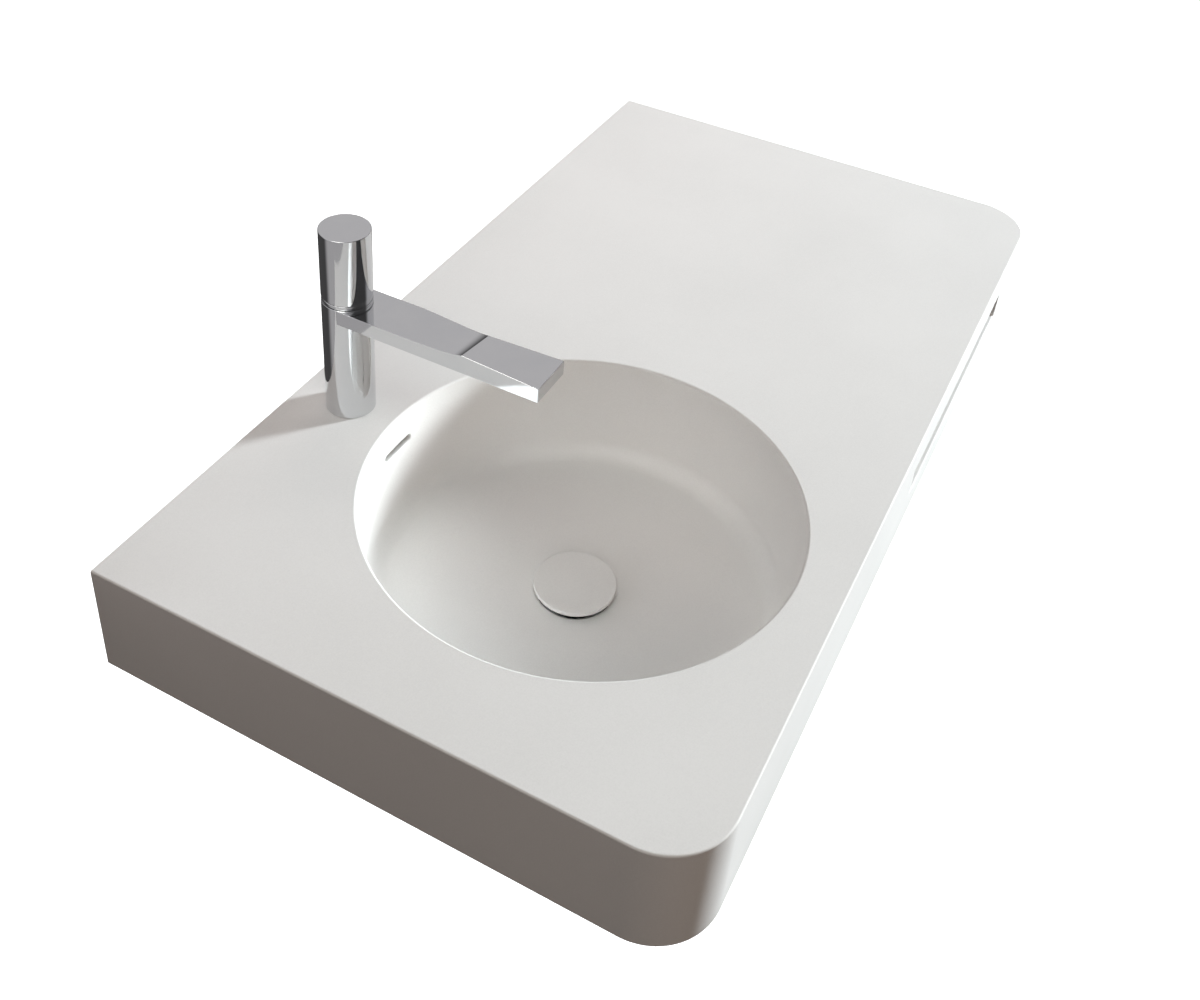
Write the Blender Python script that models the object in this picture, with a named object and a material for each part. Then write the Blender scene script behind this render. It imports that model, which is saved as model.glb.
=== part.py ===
"""Wall-hung washbasin: a slab with a seamless round bowl, a slotted front, a column tap and a push waste.

Metres, +Z up. X runs along the basin, the front faces -Y and the wall is the plane Y = 0.
The origin is on the wall, at mid length and at half the height of the slab.
"""

import math

import bmesh
import bpy

# Fits between pieces
CLEARANCE = 0.0003
OVERRUN = 0.004

# Slab
BASIN_LENGTH = 0.900
BASIN_DEPTH = 0.486
BASIN_HEIGHT = 0.100
CORNER_RADIUS = 0.052
EDGE_RADIUS = 0.0015
DECK_THICKNESS = 0.012
APRON_THICKNESS = 0.016

# Slot in the front apron, whose long lower bar serves as a rail
SLOT_LENGTH = 0.316
SLOT_HEIGHT = 0.027
SLOT_DROP = 0.037
SLOT_END_MARGIN = 0.112

# Bowl, which fills the slab's depth between two margins
BOWL_END_MARGIN = 0.0765
BOWL_WALL_MARGIN = 0.093
BOWL_FRONT_MARGIN = 0.038
BOWL_DEPTH = 0.103
BOWL_WALL = 0.010
BOWL_WALL_TAPER = math.radians(4)
BOWL_FLOOR_FALL = math.radians(1.2)
BOWL_FILLET = 0.018
RIM_RADIUS = 0.002
BOND_FLANGE_WIDTH = 0.012
BOND_FLANGE_THICKNESS = 0.008
WASTE_HOLE_DIAMETER = 0.046
WASTE_RECESS_DIAMETER = 0.064
WASTE_RECESS_DEPTH = 0.0042
SEAL_FLAT_DIAMETER = 0.090

# Overflow
OVERFLOW_LENGTH = 0.038
OVERFLOW_HEIGHT = 0.0065
OVERFLOW_DROP = 0.029
DUCT_WIDTH = 0.052
DUCT_HEIGHT = 0.014
DUCT_WALL = 0.003
DUCT_COLLAR_DIAMETER = 0.072

# Waste fitting, a 1 1/4 inch pattern
WASTE_THREAD_DIAMETER = 0.0419
WASTE_BORE_DIAMETER = 0.0365
WASTE_LENGTH = 0.080
WASTE_RIM_DIAMETER = 0.062
WASTE_RIM_THICKNESS = 0.0015
WASTE_PORT_WIDTH = 0.018
CROSSBAR_WIDTH = 0.005
CROSSBAR_HEIGHT = 0.007
CROSSBAR_DROP = 0.036
SEAL_THICKNESS = 0.0012
LOWER_SEAL_THICKNESS = 0.003
LOWER_SEAL_WIDTH = 0.010
BACKNUT_WIDTH = 0.058
BACKNUT_HEIGHT = 0.009

# Push plug
PLUG_DIAMETER = 0.069
PLUG_THICKNESS = 0.004
PLUG_RISE = 0.005
PLUG_SOCKET_DIAMETER = 0.030
PLUG_SOCKET_DEPTH = 0.0015
CARRIER_THICKNESS = 0.003
PLUG_SEAL_DIAMETER = 0.052
PLUG_SEAL_WIDTH = 0.006
PLUG_SEAL_THICKNESS = 0.0012
STEM_DIAMETER = 0.009
BARREL_DIAMETER = 0.016
BARREL_LENGTH = 0.026
BARREL_FLOOR = 0.003
BARREL_SPIGOT_DIAMETER = 0.006

# Column tap with its spout
TAP_CENTRE_FROM_WALL = 0.0486
TAP_HOLE_DIAMETER = 0.033
TAP_DIAMETER = 0.042
TAP_HEIGHT = 0.176
COLUMN_HEIGHT = 0.1105
TAP_CHAMFER = 0.0003
SPOUT_REACH = 0.187
SPOUT_WIDTH = 0.0412
SPOUT_THICKNESS = 0.013
SPOUT_UNDERSIDE = 0.097
SPOUT_ROOT_OFFSET = 0.002
SPOUT_SCOOP_START = 0.080
SPOUT_RIDGE_REACH = 0.120
SPOUT_RIDGE_RISE = 0.0040
SPOUT_RIDGE_DIP = 0.0030
WATERWAY_DIAMETER = 0.0072
TAP_FOOT_BORE_DIAMETER = 0.032
TAP_FOOT_BORE_HEIGHT = 0.030
GASKET_INNER_DIAMETER = 0.0348
GASKET_OUTER_DIAMETER = 0.0400
GASKET_THICKNESS = 0.0012

# Valve in the column
VALVE_BORE_DIAMETER = 0.029
VALVE_BORE_FLOOR = 0.062
VALVE_SEAL_DIAMETER = 0.024
VALVE_SEAL_THICKNESS = 0.0022
HOUSING_DIAMETER = 0.025
HOUSING_COLLAR_THICKNESS = 0.0014
HOUSING_COLLAR_LEVEL = 0.1074
DISC_DIAMETER = 0.0184
DISC_THICKNESS = 0.0036
DISC_PORT_DIAMETER = 0.004
DISC_PORT_SPACING = 0.010
SPINDLE_DIAMETER = 0.009
SPINDLE_FOOT_THICKNESS = 0.004
SPINDLE_TOP = 0.147
NUT_BORE_DIAMETER = 0.016
NUT_STAND_OUT = 0.0022

# Handle and trim ring
RING_DIAMETER = 0.0412
RING_THICKNESS = 0.0036
RING_BORE_DIAMETER = 0.031
HANDLE_GAP = 0.0006
HANDLE_WALL = 0.004
HANDLE_CROWN = 0.006
HANDLE_BOSS_DIAMETER = 0.018
HANDLE_BOSS_RISE = 0.004
GRUB_SCREW_DIAMETER = 0.004
GRUB_SCREW_LENGTH = 0.0045
GRUB_SCREW_LEVEL = 0.136

# Outlet in the underside of the spout
AERATOR_DIAMETER = 0.017
AERATOR_SETBACK = 0.016
AERATOR_POCKET_DEPTH = 0.0095
AERATOR_WALL = 0.0014
AERATOR_HEIGHT = 0.0075
SCREEN_THICKNESS = 0.002
SCREEN_HOLE_DIAMETER = 0.0022
SCREEN_HOLE_RING_DIAMETER = 0.0080
SCREEN_HOLES = 6

# Fixing and inlets under the tap
STUD_DIAMETER = 0.006
STUD_OFFSET = 0.0125
STUD_LENGTH = 0.072
STUD_SOCKET_DEPTH = 0.010
CLAMP_DIAMETER = 0.048
CLAMP_MOUTH_DIAMETER = 0.0240
CLAMP_RUBBER_THICKNESS = 0.0025
CLAMP_PLATE_THICKNESS = 0.003
CLAMP_NUT_WIDTH = 0.010
CLAMP_NUT_HEIGHT = 0.007
INLET_DIAMETER = 0.0090
INLET_BORE_DIAMETER = 0.0060
INLET_SPACING = 0.014
INLET_OFFSET = 0.0045
INLET_DROP = 0.055
INLET_SOCKET_DEPTH = 0.008
FERRULE_DIAMETER = 0.0116
FERRULE_HEIGHT = 0.012

# Rear rail and wall brackets
RAIL_THICKNESS = 0.018
BRACKET_WIDTH = 0.036
BRACKET_PLATE = 0.005
BRACKET_ARM = 0.360
BRACKET_LEG = 0.074
BRACKET_END_GAP = 0.005
GUSSET_LENGTH = 0.220
WALL_HOLE_DIAMETER = 0.009
WALL_HOLE_PITCH = 0.034
DECK_SCREW_PLACES = (0.090, 0.330)
INSERT_DIAMETER = 0.008
INSERT_LENGTH = 0.008
SCREW_DIAMETER = 0.0048
SCREW_HEAD_DIAMETER = 0.0105
SCREW_HEAD_HEIGHT = 0.003
SCREW_GRIP = 0.006

# Facets
BOWL_SEGMENTS = 64
COLUMN_SEGMENTS = 36
PIPE_SEGMENTS = 24
SMALL_SEGMENTS = 16
BORE_SEGMENTS = 12
ARC_STEPS = 8
OUTER_ARC_STEPS = 5
SLOT_END_STEPS = 6
RIM_STEPS = 3
EDGE_STEPS = 2
GUIDE_TURN_SHARE = 0.3

# Levels and places that the sizes above give
DECK_TOP = BASIN_HEIGHT / 2
DECK_UNDERSIDE = DECK_TOP - DECK_THICKNESS
APRON_BOTTOM = DECK_TOP - BASIN_HEIGHT
BOND_LEVEL = DECK_UNDERSIDE - CLEARANCE
BOWL_RADIUS = (BASIN_DEPTH - BOWL_WALL_MARGIN - BOWL_FRONT_MARGIN) / 2
BOWL_X = BOWL_END_MARGIN + BOWL_RADIUS - BASIN_LENGTH / 2
BOWL_Y = -BOWL_WALL_MARGIN - BOWL_RADIUS
BOWL_FLOOR = DECK_TOP - BOWL_DEPTH
BOWL_UNDERSIDE = BOWL_FLOOR - BOWL_WALL
TAP_Y = -TAP_CENTRE_FROM_WALL
WASTE_SEAT = BOWL_FLOOR - WASTE_RECESS_DEPTH
WASTE_RIM_TOP = WASTE_SEAT + CLEARANCE + SEAL_THICKNESS + CLEARANCE + WASTE_RIM_THICKNESS
WASTE_OUTLET = WASTE_RIM_TOP - WASTE_LENGTH
DUCT_FLOOR = BOWL_UNDERSIDE - CLEARANCE - DUCT_HEIGHT
CROSSBAR_TOP = BOWL_FLOOR - CROSSBAR_DROP
PLUG_UNDERSIDE = BOWL_FLOOR + PLUG_RISE


def clear_scene():
    """Remove every object of the opened scene."""
    for thing in list(bpy.data.objects):
        bpy.data.objects.remove(thing, do_unlink=True)


def finish(name, colour, roughness, metallic):
    """Return a plain material with a colour, a roughness and a metallic value."""
    look = bpy.data.materials.new(name)
    look.use_nodes = True
    shader = look.node_tree.nodes["Principled BSDF"]
    shader.inputs["Base Color"].default_value = (*colour, 1)
    shader.inputs["Roughness"].default_value = roughness
    shader.inputs["Metallic"].default_value = metallic
    return look


def solid_surface(name):
    """Matt white cast acrylic stone."""
    return finish(name, (0.80, 0.79, 0.77), 0.45, 0)


def chrome(name):
    """Bright chromed brass."""
    return finish(name, (0.72, 0.72, 0.74), 0.06, 1)


def brass(name):
    """Bare turned brass."""
    return finish(name, (0.62, 0.46, 0.20), 0.35, 1)


def steel(name):
    """Zinc-plated steel."""
    return finish(name, (0.50, 0.51, 0.52), 0.40, 1)


def rubber(name):
    """Black seal rubber."""
    return finish(name, (0.02, 0.02, 0.02), 0.75, 0)


def plastic(name):
    """Grey moulded plastic."""
    return finish(name, (0.45, 0.46, 0.47), 0.50, 0)


def ceramic(name):
    """White valve ceramic."""
    return finish(name, (0.85, 0.84, 0.80), 0.20, 0)


def add_object(name, points, faces, look, place):
    """Make one mesh object whose points are relative to its place."""
    mesh = bpy.data.meshes.new(name)
    mesh.from_pydata([tuple(point) for point in points], [], faces)
    form = bmesh.new()
    form.from_mesh(mesh)
    bmesh.ops.recalc_face_normals(form, faces=form.faces)
    form.to_mesh(mesh)
    form.free()
    mesh.shade_smooth()
    mesh.set_sharp_from_angle(angle=math.radians(35))
    thing = bpy.data.objects.new(name, mesh)
    thing.location = place
    bpy.context.scene.collection.objects.link(thing)
    if look:
        mesh.materials.append(look)
    else:
        thing.hide_render = True
        thing.display_type = "WIRE"
    return thing


def combine(thing, others, operation):
    """Cut, join or intersect an object with hidden guide objects."""
    for other in others:
        step = thing.modifiers.new(other.name, "BOOLEAN")
        step.operation = operation
        step.solver = "EXACT"
        step.object = other
    return thing


def cut(thing, *others):
    """Take the guides' volumes away from an object."""
    return combine(thing, others, "DIFFERENCE")


def join(thing, *others):
    """Add the guides' volumes to an object."""
    return combine(thing, others, "UNION")


def ring_places(profile, segments, turn_share):
    """Yield for each turn step the points of a (radius, height) profile."""
    for step in range(segments):
        angle = math.tau * (step + turn_share) / segments
        yield [(r * math.cos(angle), r * math.sin(angle), z) for r, z in profile]


def turned(name, profile, look=None, place=(0, 0, 0), segments=PIPE_SEGMENTS, turn_share=0):
    """Turn a closed (radius, height) outline about the Z axis through its place.

    Points with no radius lie on the axis and are made once. The turn share moves the facets
    round by that part of a facet.
    """
    points = []
    rows = [[] for _ in profile]
    for ring in ring_places(profile, segments, turn_share):
        for row, point in zip(rows, ring):
            on_axis = point[0] == 0 and point[1] == 0
            if on_axis and row:
                row.append(row[0])
            else:
                row.append(len(points))
                points.append(point)
    faces = []
    for upper, lower in zip(rows, rows[1:] + rows[:1]):
        for step in range(segments):
            after = (step + 1) % segments
            corners = [upper[step], upper[after], lower[after], lower[step]]
            face = list(dict.fromkeys(corners))
            if len(face) > 2:
                faces.append(face)
    return add_object(name, points, faces, look, place)


def rod(name, diameter, bottom, top, look=None, place=(0, 0, 0), segments=PIPE_SEGMENTS):
    """Turn a plain cylinder between two heights.

    A guide's facets are moved round a little, so that no cut meets a piece corner on corner.
    """
    radius = diameter / 2
    profile = [(0, bottom), (radius, bottom), (radius, top), (0, top)]
    turn_share = 0 if look else GUIDE_TURN_SHARE
    return turned(name, profile, look, place, segments, turn_share)


def collar(name, inner, outer, bottom, top, look=None, place=(0, 0, 0), segments=PIPE_SEGMENTS):
    """Turn a plain ring from its inner and outer diameters and two heights."""
    near, far = inner / 2, outer / 2
    profile = [(near, bottom), (far, bottom), (far, top), (near, top)]
    return turned(name, profile, look, place, segments)


def lofted(name, loops, look=None, place=(0, 0, 0)):
    """Skin loops of equal length, one after another, and close both ends."""
    count = len(loops[0])
    points = [point for loop in loops for point in loop]
    faces = [list(range(count)), [len(points) - 1 - index for index in range(count)]]
    for level in range(len(loops) - 1):
        base = level * count
        for index in range(count):
            after = (index + 1) % count
            faces.append([base + index, base + after, base + count + after, base + count + index])
    return add_object(name, points, faces, look, place)


def upright(name, outline, bottom, top, look=None, place=(0, 0, 0)):
    """Extrude a plan outline from one height to another."""
    loops = [[(x, y, z) for x, y in outline] for z in (bottom, top)]
    return lofted(name, loops, look, place)


def crosswise(name, outline, left, right, look=None, place=(0, 0, 0)):
    """Extrude a (Y, Z) outline along X."""
    loops = [[(x, y, z) for y, z in outline] for x in (left, right)]
    return lofted(name, loops, look, place)


def lengthwise(name, outline, front, back, look=None, place=(0, 0, 0)):
    """Extrude an (X, Z) outline along Y."""
    loops = [[(x, y, z) for x, z in outline] for y in (front, back)]
    return lofted(name, loops, look, place)


def block(name, low, high, look=None, place=(0, 0, 0)):
    """Make a box between two opposite corners."""
    outline = [(low[0], low[1]), (high[0], low[1]), (high[0], high[1]), (low[0], high[1])]
    return upright(name, outline, low[2], high[2], look, place)


def arc(centre, radius, start, end, steps=ARC_STEPS):
    """List points on an arc, both ends included, with angles in radians."""
    angles = [start + (end - start) * step / steps for step in range(steps + 1)]
    return [(centre[0] + radius * math.cos(a), centre[1] + radius * math.sin(a)) for a in angles]


def circle(diameter, level=0, corners=SMALL_SEGMENTS):
    """List points round a whole circle whose centre is at a level."""
    angles = [math.tau * step / corners for step in range(corners)]
    radius = diameter / 2
    return [(radius * math.cos(a), level + radius * math.sin(a)) for a in angles]


def hexagon(width):
    """List the corners of a hexagon from its width across the flats."""
    return circle(2 * width / math.sqrt(3), corners=6)


def front_corners(inset):
    """List the rounded front edge, left to right, moved in from the outer face."""
    reach = BASIN_LENGTH / 2 - CORNER_RADIUS
    level = CORNER_RADIUS - BASIN_DEPTH
    radius = CORNER_RADIUS - inset
    left = arc((-reach, level), radius, math.pi, math.pi * 1.5)
    right = arc((reach, level), radius, math.pi * 1.5, math.tau)
    return left + right


def deck_outline(inset):
    """List the plan of the slab, with square corners at the wall."""
    reach = BASIN_LENGTH / 2 - inset
    return [(-reach, -inset)] + front_corners(inset) + [(reach, -inset)]


def bowl_fillet(offset, steps):
    """List the fillet between the bowl's wall and its floor, moved outwards by an offset.

    The wall leans in as it goes down and the floor falls to the waste.
    """
    lean, fall = math.tan(BOWL_WALL_TAPER), math.tan(BOWL_FLOOR_FALL)
    waste = WASTE_RECESS_DIAMETER / 2
    across = BOWL_RADIUS - BOWL_FILLET / math.cos(BOWL_WALL_TAPER)
    up = BOWL_FILLET / math.cos(BOWL_FLOOR_FALL) - BOWL_DEPTH - waste * fall
    centre_r = (across + lean * up) / (1 - lean * fall)
    centre_z = up + fall * centre_r
    centre = (centre_r, DECK_TOP + centre_z)
    return arc(centre, BOWL_FILLET + offset, -BOWL_WALL_TAPER, BOWL_FLOOR_FALL - math.pi / 2, steps)


def wall_radius(level, offset=0):
    """Return the radius of the bowl's straight wall at a height, moved outwards by an offset."""
    slope = math.tan(BOWL_WALL_TAPER)
    return BOWL_RADIUS - (DECK_TOP - level) * slope + offset / math.cos(BOWL_WALL_TAPER)


def outer_section(offset, top):
    """List the bowl's outer section from a top level down to its flat seat, moved outwards."""
    depth = BOWL_WALL + offset
    flat = BOWL_FLOOR - depth
    curve = [point for point in bowl_fillet(depth, OUTER_ARC_STEPS) if point[1] > flat]
    return [(wall_radius(top, depth), top)] + curve + [(SEAL_FLAT_DIAMETER / 2, flat)]


def make_deck(look):
    """Make the top plate with its bowl hole, tap hole and insert holes."""
    softened = arc((EDGE_RADIUS, DECK_TOP - EDGE_RADIUS), EDGE_RADIUS, math.pi, math.pi / 2,
                   EDGE_STEPS)
    levels = [(0, DECK_UNDERSIDE)] + softened
    loops = [[(x, y, z) for x, y in deck_outline(inset)] for inset, z in levels]
    deck = lofted("deck", loops, look)
    below, above = DECK_UNDERSIDE - OVERRUN, DECK_TOP + OVERRUN
    rim_level = DECK_TOP - RIM_RADIUS
    rim_centre = (wall_radius(rim_level) + RIM_RADIUS, rim_level)
    rim = arc(rim_centre, RIM_RADIUS, math.pi, math.pi / 2, RIM_STEPS)
    profile = [(0, below), (wall_radius(below), below)] + rim + [(rim_centre[0], above), (0, above)]
    bowl_hole = turned("bowl_hole", profile, None, (BOWL_X, BOWL_Y, 0), BOWL_SEGMENTS)
    tap_place = (BOWL_X, TAP_Y, 0)
    tap_hole = rod("tap_hole", TAP_HOLE_DIAMETER, below, above, None, tap_place, COLUMN_SEGMENTS)
    cut(deck, bowl_hole, tap_hole)
    depth = INSERT_LENGTH + CLEARANCE
    for name, x, y in screw_places():
        hole = rod("hole_" + name, INSERT_DIAMETER + 2 * CLEARANCE, below, DECK_UNDERSIDE + depth,
                   None, (x, y, 0), SMALL_SEGMENTS)
        cut(deck, hole)


def make_bowl(look):
    """Turn the bowl's shell with its bonding flange, waste hole and overflow slot."""
    place = (BOWL_X, BOWL_Y, 0)
    hole, recess = WASTE_HOLE_DIAMETER / 2, WASTE_RECESS_DIAMETER / 2
    flange_bottom = BOND_LEVEL - BOND_FLANGE_THICKNESS
    flange_radius = wall_radius(BOND_LEVEL, BOND_FLANGE_WIDTH)
    inside = [(wall_radius(BOND_LEVEL), BOND_LEVEL)] + bowl_fillet(0, ARC_STEPS)
    inside += [(recess, BOWL_FLOOR), (recess, WASTE_SEAT), (hole, WASTE_SEAT), (hole, BOWL_UNDERSIDE)]
    outside = outer_section(0, flange_bottom)[::-1]
    outside += [(flange_radius, flange_bottom), (flange_radius, BOND_LEVEL)]
    bowl = turned("bowl", inside + outside, look, place, BOWL_SEGMENTS)
    level = DECK_TOP - OVERFLOW_DROP
    reach = (OVERFLOW_LENGTH - OVERFLOW_HEIGHT) / 2
    radius = OVERFLOW_HEIGHT / 2
    outline = arc((reach, level), radius, -math.pi / 2, math.pi / 2, SLOT_END_STEPS)
    outline += arc((-reach, level), radius, math.pi / 2, math.pi * 1.5, SLOT_END_STEPS)
    behind = BOWL_RADIUS + DUCT_HEIGHT
    cut(bowl, lengthwise("overflow_slot", outline, BOWL_RADIUS / 2, behind, None, place))


def make_aprons(look):
    """Make the bent front apron with its slot, and the two end aprons."""
    outline = front_corners(0) + front_corners(APRON_THICKNESS)[::-1]
    front = upright("front_apron", outline, APRON_BOTTOM, BOND_LEVEL, look)
    right = BASIN_LENGTH / 2 - SLOT_END_MARGIN
    top = DECK_TOP - SLOT_DROP
    low = (right - SLOT_LENGTH, -BASIN_DEPTH - OVERRUN, top - SLOT_HEIGHT)
    high = (right, APRON_THICKNESS + OVERRUN - BASIN_DEPTH, top)
    cut(front, block("front_slot", low, high))
    near = CORNER_RADIUS - BASIN_DEPTH + CLEARANCE
    outer, inner = BASIN_LENGTH / 2, BASIN_LENGTH / 2 - APRON_THICKNESS
    block("left_apron", (-outer, near, APRON_BOTTOM), (-inner, 0, BOND_LEVEL), look)
    block("right_apron", (inner, near, APRON_BOTTOM), (outer, 0, BOND_LEVEL), look)


def bracket_inner_edge():
    """Return the distance of a bracket's inner edge from mid length."""
    return BASIN_LENGTH / 2 - APRON_THICKNESS - BRACKET_END_GAP - BRACKET_WIDTH


def screw_places():
    """List a name and a place for each screw that holds the deck on the brackets."""
    x = bracket_inner_edge() + BRACKET_WIDTH / 2
    places = []
    for side, sign in (("left", -1), ("right", 1)):
        for row, y in zip(("rear", "front"), DECK_SCREW_PLACES):
            places.append((side + "_" + row, sign * x, -y))
    return places


def make_rear_rail(look):
    """Make the rail bonded along the wall between the brackets."""
    reach = bracket_inner_edge() - CLEARANCE
    block("rear_rail", (-reach, -RAIL_THICKNESS, APRON_BOTTOM), (reach, 0, BOND_LEVEL), look)


def make_bracket(side, sign, look):
    """Make a steel angle bracket with a gusset, wall holes and screw holes."""
    inner = bracket_inner_edge()
    outer = inner + BRACKET_WIDTH
    top = BOND_LEVEL
    foot = top - BRACKET_LEG
    plate = BRACKET_PLATE
    angle = [(0, foot), (0, top), (-BRACKET_ARM, top), (-BRACKET_ARM, top - plate),
             (-plate, top - plate), (-plate, foot)]
    left, right = sorted((sign * inner, sign * outer))
    bracket = crosswise("wall_bracket_" + side, angle, left, right, look)
    half = plate / 2
    web = [(-half, foot + half), (-half, top - half), (-GUSSET_LENGTH, top - half),
           (-GUSSET_LENGTH, top - plate - half)]
    left, right = sorted((sign * (outer - plate), sign * (outer - CLEARANCE)))
    join(bracket, crosswise("gusset_" + side, web, left, right))
    x = sign * (inner + BRACKET_WIDTH / 2)
    for level in (-1, 1):
        z = foot + BRACKET_LEG / 2 + level * WALL_HOLE_PITCH / 2
        outline = circle(WALL_HOLE_DIAMETER, z)
        name = "wall_hole_" + side + ("_upper" if level > 0 else "_lower")
        cut(bracket, lengthwise(name, outline, -plate - OVERRUN, OVERRUN, None, (x, 0, 0)))
    wide = SCREW_DIAMETER + 2 * CLEARANCE
    below, above = top - plate - OVERRUN, top + OVERRUN
    for name, place_x, place_y in screw_places():
        if place_x * sign > 0:
            spot = (place_x, place_y, 0)
            cut(bracket, rod("arm_hole_" + name, wide, below, above, None, spot, SMALL_SEGMENTS))


def make_screws(screw_look, insert_look):
    """Make the inserts in the deck and the screws that hold the brackets' arms."""
    top = DECK_UNDERSIDE + INSERT_LENGTH
    arm = BOND_LEVEL - BRACKET_PLATE
    head_top = arm - CLEARANCE
    for name, x, y in screw_places():
        collar("bracket_insert_" + name, SCREW_DIAMETER + 2 * CLEARANCE, INSERT_DIAMETER,
               DECK_UNDERSIDE, top, insert_look, (x, y, 0))
        head, shank = SCREW_HEAD_DIAMETER / 2, SCREW_DIAMETER / 2
        bottom = head_top - SCREW_HEAD_HEIGHT
        edge = SCREW_HEAD_HEIGHT / 2
        tip = DECK_UNDERSIDE + SCREW_GRIP
        profile = [(0, bottom), (head - edge, bottom), (head, bottom + edge), (head, head_top),
                   (shank, head_top), (shank, tip), (0, tip)]
        turned("bracket_screw_" + name, profile, screw_look, (x, y, 0), SMALL_SEGMENTS)


def make_overflow_duct(look):
    """Make the bonded duct that leads from the overflow slot to a chamber round the waste.

    It is extruded along the bowl's outer section, fits that section, and is open towards it.
    """
    place = (BOWL_X, BOWL_Y, 0)
    top = BOND_LEVEL - BOND_FLANGE_THICKNESS - CLEARANCE
    middle = -BOWL_WALL / 2
    outer = outer_section(CLEARANCE + DUCT_HEIGHT, top) + [(0, DUCT_FLOOR)]
    inner = outer_section(middle, top) + [(0, BOWL_UNDERSIDE - middle)]
    half = DUCT_WIDTH / 2
    duct = crosswise("overflow_duct", outer + inner[::-1], -half, half, look, place)
    rim = BOWL_UNDERSIDE - middle
    join(duct, rod("duct_collar", DUCT_COLLAR_DIAMETER, DUCT_FLOOR, BOWL_UNDERSIDE, None, place))
    above = DECK_TOP
    envelope = outer_section(CLEARANCE, above)
    profile = [(0, above)] + envelope + [(0, envelope[-1][1])]
    bowl_fit = turned("bowl_fit", profile, None, place, BOWL_SEGMENTS)
    hollow_height = CLEARANCE + DUCT_HEIGHT - DUCT_WALL
    channel_top = top - DUCT_WALL
    channel_floor = DUCT_FLOOR + DUCT_WALL
    channel_outer = outer_section(hollow_height, channel_top) + [(0, channel_floor)]
    channel_inner = outer_section(middle, channel_top) + [(0, rim)]
    side = half - DUCT_WALL
    channel = crosswise("duct_channel", channel_outer + channel_inner[::-1], -side, side, None, place)
    chamber = rod("duct_chamber", DUCT_COLLAR_DIAMETER - 2 * DUCT_WALL, channel_floor, rim, None, place)
    wide = WASTE_THREAD_DIAMETER + 2 * CLEARANCE
    hole = rod("duct_waste_hole", wide, DUCT_FLOOR - OVERRUN, rim, None, place)
    cut(duct, bowl_fit, channel, chamber, hole)


def make_waste(metal, seal):
    """Make the waste body with its crossbar, its two seals and the backnut."""
    place = (BOWL_X, BOWL_Y, 0)
    thread, bore = WASTE_THREAD_DIAMETER / 2, WASTE_BORE_DIAMETER / 2
    rim = WASTE_RIM_DIAMETER / 2
    under_rim = WASTE_RIM_TOP - WASTE_RIM_THICKNESS
    profile = [(bore, WASTE_OUTLET), (thread, WASTE_OUTLET), (thread, under_rim), (rim, under_rim),
               (rim, WASTE_RIM_TOP), (bore, WASTE_RIM_TOP)]
    body = turned("waste_body", profile, metal, place)
    middle = (bore + thread) / 2
    half = CROSSBAR_WIDTH / 2
    bar_bottom = CROSSBAR_TOP - CROSSBAR_HEIGHT
    bar = block("crossbar", (-middle, -half, bar_bottom), (middle, half, CROSSBAR_TOP), None, place)
    hub_bottom, hub_top = bar_bottom - CLEARANCE, CROSSBAR_TOP + CLEARANCE
    join(body, bar, rod("crossbar_hub", BARREL_DIAMETER, hub_bottom, hub_top, None, place))
    wide = BARREL_SPIGOT_DIAMETER + 2 * CLEARANCE
    spigot = rod("spigot_hole", wide, bar_bottom - OVERRUN, CROSSBAR_TOP + OVERRUN, None, place)
    port_half = WASTE_PORT_WIDTH / 2
    port_low = DUCT_FLOOR + DUCT_WALL + CLEARANCE
    port_high = BOWL_UNDERSIDE - DUCT_WALL
    far = (port_half, thread + OVERRUN, port_high)
    port = block("overflow_port", (-port_half, 0, port_low), far, None, place)
    cut(body, spigot, port)
    inner = WASTE_THREAD_DIAMETER + 2 * CLEARANCE
    level = WASTE_SEAT + CLEARANCE
    collar("waste_seal_upper", inner, WASTE_RIM_DIAMETER, level, level + SEAL_THICKNESS, seal, place)
    seal_top = DUCT_FLOOR - CLEARANCE
    seal_bottom = seal_top - LOWER_SEAL_THICKNESS
    outer = inner + 2 * LOWER_SEAL_WIDTH
    collar("waste_seal_lower", inner, outer, seal_bottom, seal_top, seal, place)
    nut_top = seal_bottom - CLEARANCE
    nut_bottom = nut_top - BACKNUT_HEIGHT
    nut = upright("waste_backnut", hexagon(BACKNUT_WIDTH), nut_bottom, nut_top, metal, place)
    cut(nut, rod("backnut_bore", inner, nut_bottom - OVERRUN, nut_top + OVERRUN, None, place))


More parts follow.
